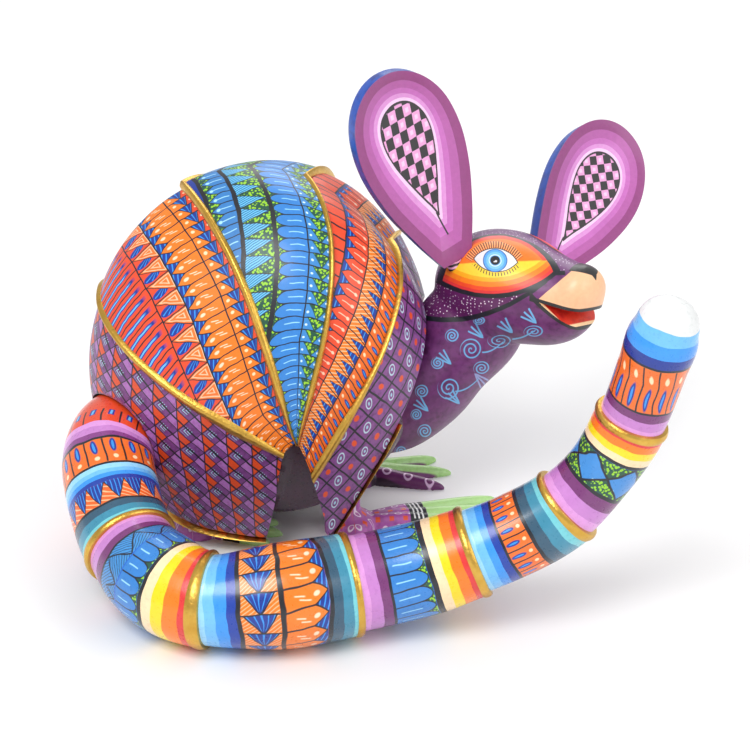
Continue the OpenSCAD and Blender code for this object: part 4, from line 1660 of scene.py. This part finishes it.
def add_plate(name, solid, material):
    piece = make_object(name + "_paint", solid)
    return finish_piece(piece, [material], "body", [name])


def add_shell(paints):
    solid = plate(0, RIB_LINES[0], (0, -PLATE_SEAT), 0, 60, (1.2, 0))
    rear = make_object("rear_shield_paint", latticed(solid, 58, 10.3, 8.7))
    cut_away(rear, [tail_recess()])
    finish_piece(rear, [paints["rear_shield"]], "body", ["rear_shield"])
    plates = [
        ("rear_orange_plate", 0, 1, 1, "orange_paint"),
        ("middle_blue_plate", 1, 2, 3, "blue_paint"),
        ("front_orange_plate", 2, 3, 1.8, "orange_paint"),
    ]
    for name, first, second, lift, slot in plates:
        solid = plate(RIB_LINES[first], RIB_LINES[second], (PLATE_SEAT, -PLATE_SEAT), lift, 40)
        add_plate(name, solid, paints[name])
    solid = plate(RIB_LINES[3], FRONT_LINE, (PLATE_SEAT, 0), 3, 40, (0, 1.2))
    solid = latticed(solid, 55, 9, 10.5)
    add_plate("front_shield", solid, paints["front_shield"])


def add_gilding(gold):
    for number, (line, lift) in enumerate(zip(RIB_LINES, (1, 3, 3, 3)), 1):
        solid = plate(line, line, (-1.1, 1.1), lift - 0.3, 10, bulge=1.6)
        piece = make_object(f"gilded_rib_{number}_leaf", solid)
        finish_piece(piece, [gold], "body", [f"gilded_rib_{number}"])
    solid = plate(-RIM_SPAN, -RIM_GAP, (0, 0), 0.5, 8, bulge=1.3)
    rear_rim = make_object("rear_shield_rim_leaf", solid)
    cut_away(rear_rim, [tail_recess()])
    finish_piece(rear_rim, [gold], "body", ["rear_shield_rim"])
    both = Solid()
    for v_range in ((-1, -FRONT_RIM_FROM), (FRONT_RIM_FROM, 1)):
        rim = plate(FRONT_LINE + RIM_GAP, FRONT_LINE + RIM_SPAN, (0, 0), 3, 8, v_range=v_range, bulge=1.3)
        both.add(rim)
    piece = make_object("front_shield_rims_leaf", both)
    finish_piece(piece, [gold], "body", ["front_shield_rims"])


def add_torso(material):
    torso = make_object("torso_paint", build_torso())
    socket = rod(
        "tail_socket", tail_seat, tail_turn_in, TAIL_PEG_RADIUS + PEG_CLEARANCE, -1, TAIL_PEG_LENGTH + 1)
    cut_away(torso, [tail_recess(), socket])
    finish_piece(torso, [material], "body", ["torso"])


def add_tail(materials, gold):
    tail = make_object("tail_paint", build_tail())
    peg = rod("tail_peg", tail_seat, tail_turn_in, TAIL_PEG_RADIUS, -4, TAIL_PEG_LENGTH, (-1, 1, 0))
    join([tail, peg])
    finish_piece(tail, materials, "tail", ["tail"])
    rings = make_object("tail_rings_leaf", build_tail_rings())
    finish_piece(rings, [gold], "tail", ["tail_gilded_rings"])


def add_head(materials):
    head = make_object("head_paint", build_skull())
    join([head, make_object("neck", build_neck())])
    soften(head, HEAD_VOXEL, HEAD_SMOOTHING)
    cutters = [make_object("mouth_cut", build_mouth_cut(1), uneven=False)]
    for name, place in EARS.items():
        radius = EAR_PEG_RADIUS + PEG_CLEARANCE
        cutters.append(rod(name + "_socket", place[0], ear_turn(place), radius, -EAR_PEG_LENGTH - 1, 4))
        cutters.append(make_object(name + "_seat", build_ear(place, EAR_SEAT_GAP)))
    for mesh in [head.data] + [cutter.data for cutter in cutters]:
        for material in materials:
            mesh.materials.append(material)
    cut_away(head, cutters)
    repaint(head, head_local)
    finish_piece(head, [], "body", ["head"])


def add_ear(name, place, material):
    ear = make_object(name + "_paint", build_ear(place))
    peg = rod("peg", place[0], ear_turn(place), EAR_PEG_RADIUS, -EAR_PEG_LENGTH, -1, (0, 0, 2), points=48)
    join([ear, peg])
    finish_piece(ear, [material], name, [name])


def add_feet(materials):
    for name, place in FEET.items():
        foot = build_foot(name + "_paint", place)
        finish_piece(foot, [materials[name]], "body", [name])


add_camera()
add_light()
add_floor()
gold = paint_gold()
shell_paints = {
    "rear_shield": lattice("rear_shield_paint", bracket_lattice, 31),
    "rear_orange_plate": strips(
        "rear_orange_paint",
        [(drop_cells, 10), (orange_pickets, 24), (nested_triangles, 35), (red_bars, 90)], 41),
    "middle_blue_plate": strips(
        "blue_paint",
        [(small_blues, 9), (blue_pickets, 21), (None, 22.2), (cyan_triangles, 33), (None, 34),
         (narrow_pickets, 43), (None, 44), (loops, 90)], 51),
    "front_orange_plate": strips(
        "front_orange_paint",
        [(orange_bars, 8.5), (striped_triangles, 18.5), (red_pickets, 29), (red_rungs, 90)], 61),
    "front_shield": lattice("front_shield_paint", ring_lattice, 71),
}
add_shell(shell_paints)
add_gilding(gold)
add_torso(paint_belly())
add_tail(tail_materials(), gold)
add_head([paint_head(), paint_mouth()])
for ear_name, ear_place in EARS.items():
    add_ear(ear_name, ear_place, paint_ear(ear_name, 1 if ear_name == "left_ear" else 0))
add_feet({
    "right_front_foot": paint_foot("right_front_foot", 31),
    "left_front_foot": paint_far_foot("left_front_foot"),
    "right_hind_foot": paint_foot("right_hind_foot", 20),
    "left_hind_foot": paint_foot("left_hind_foot", 20),
})
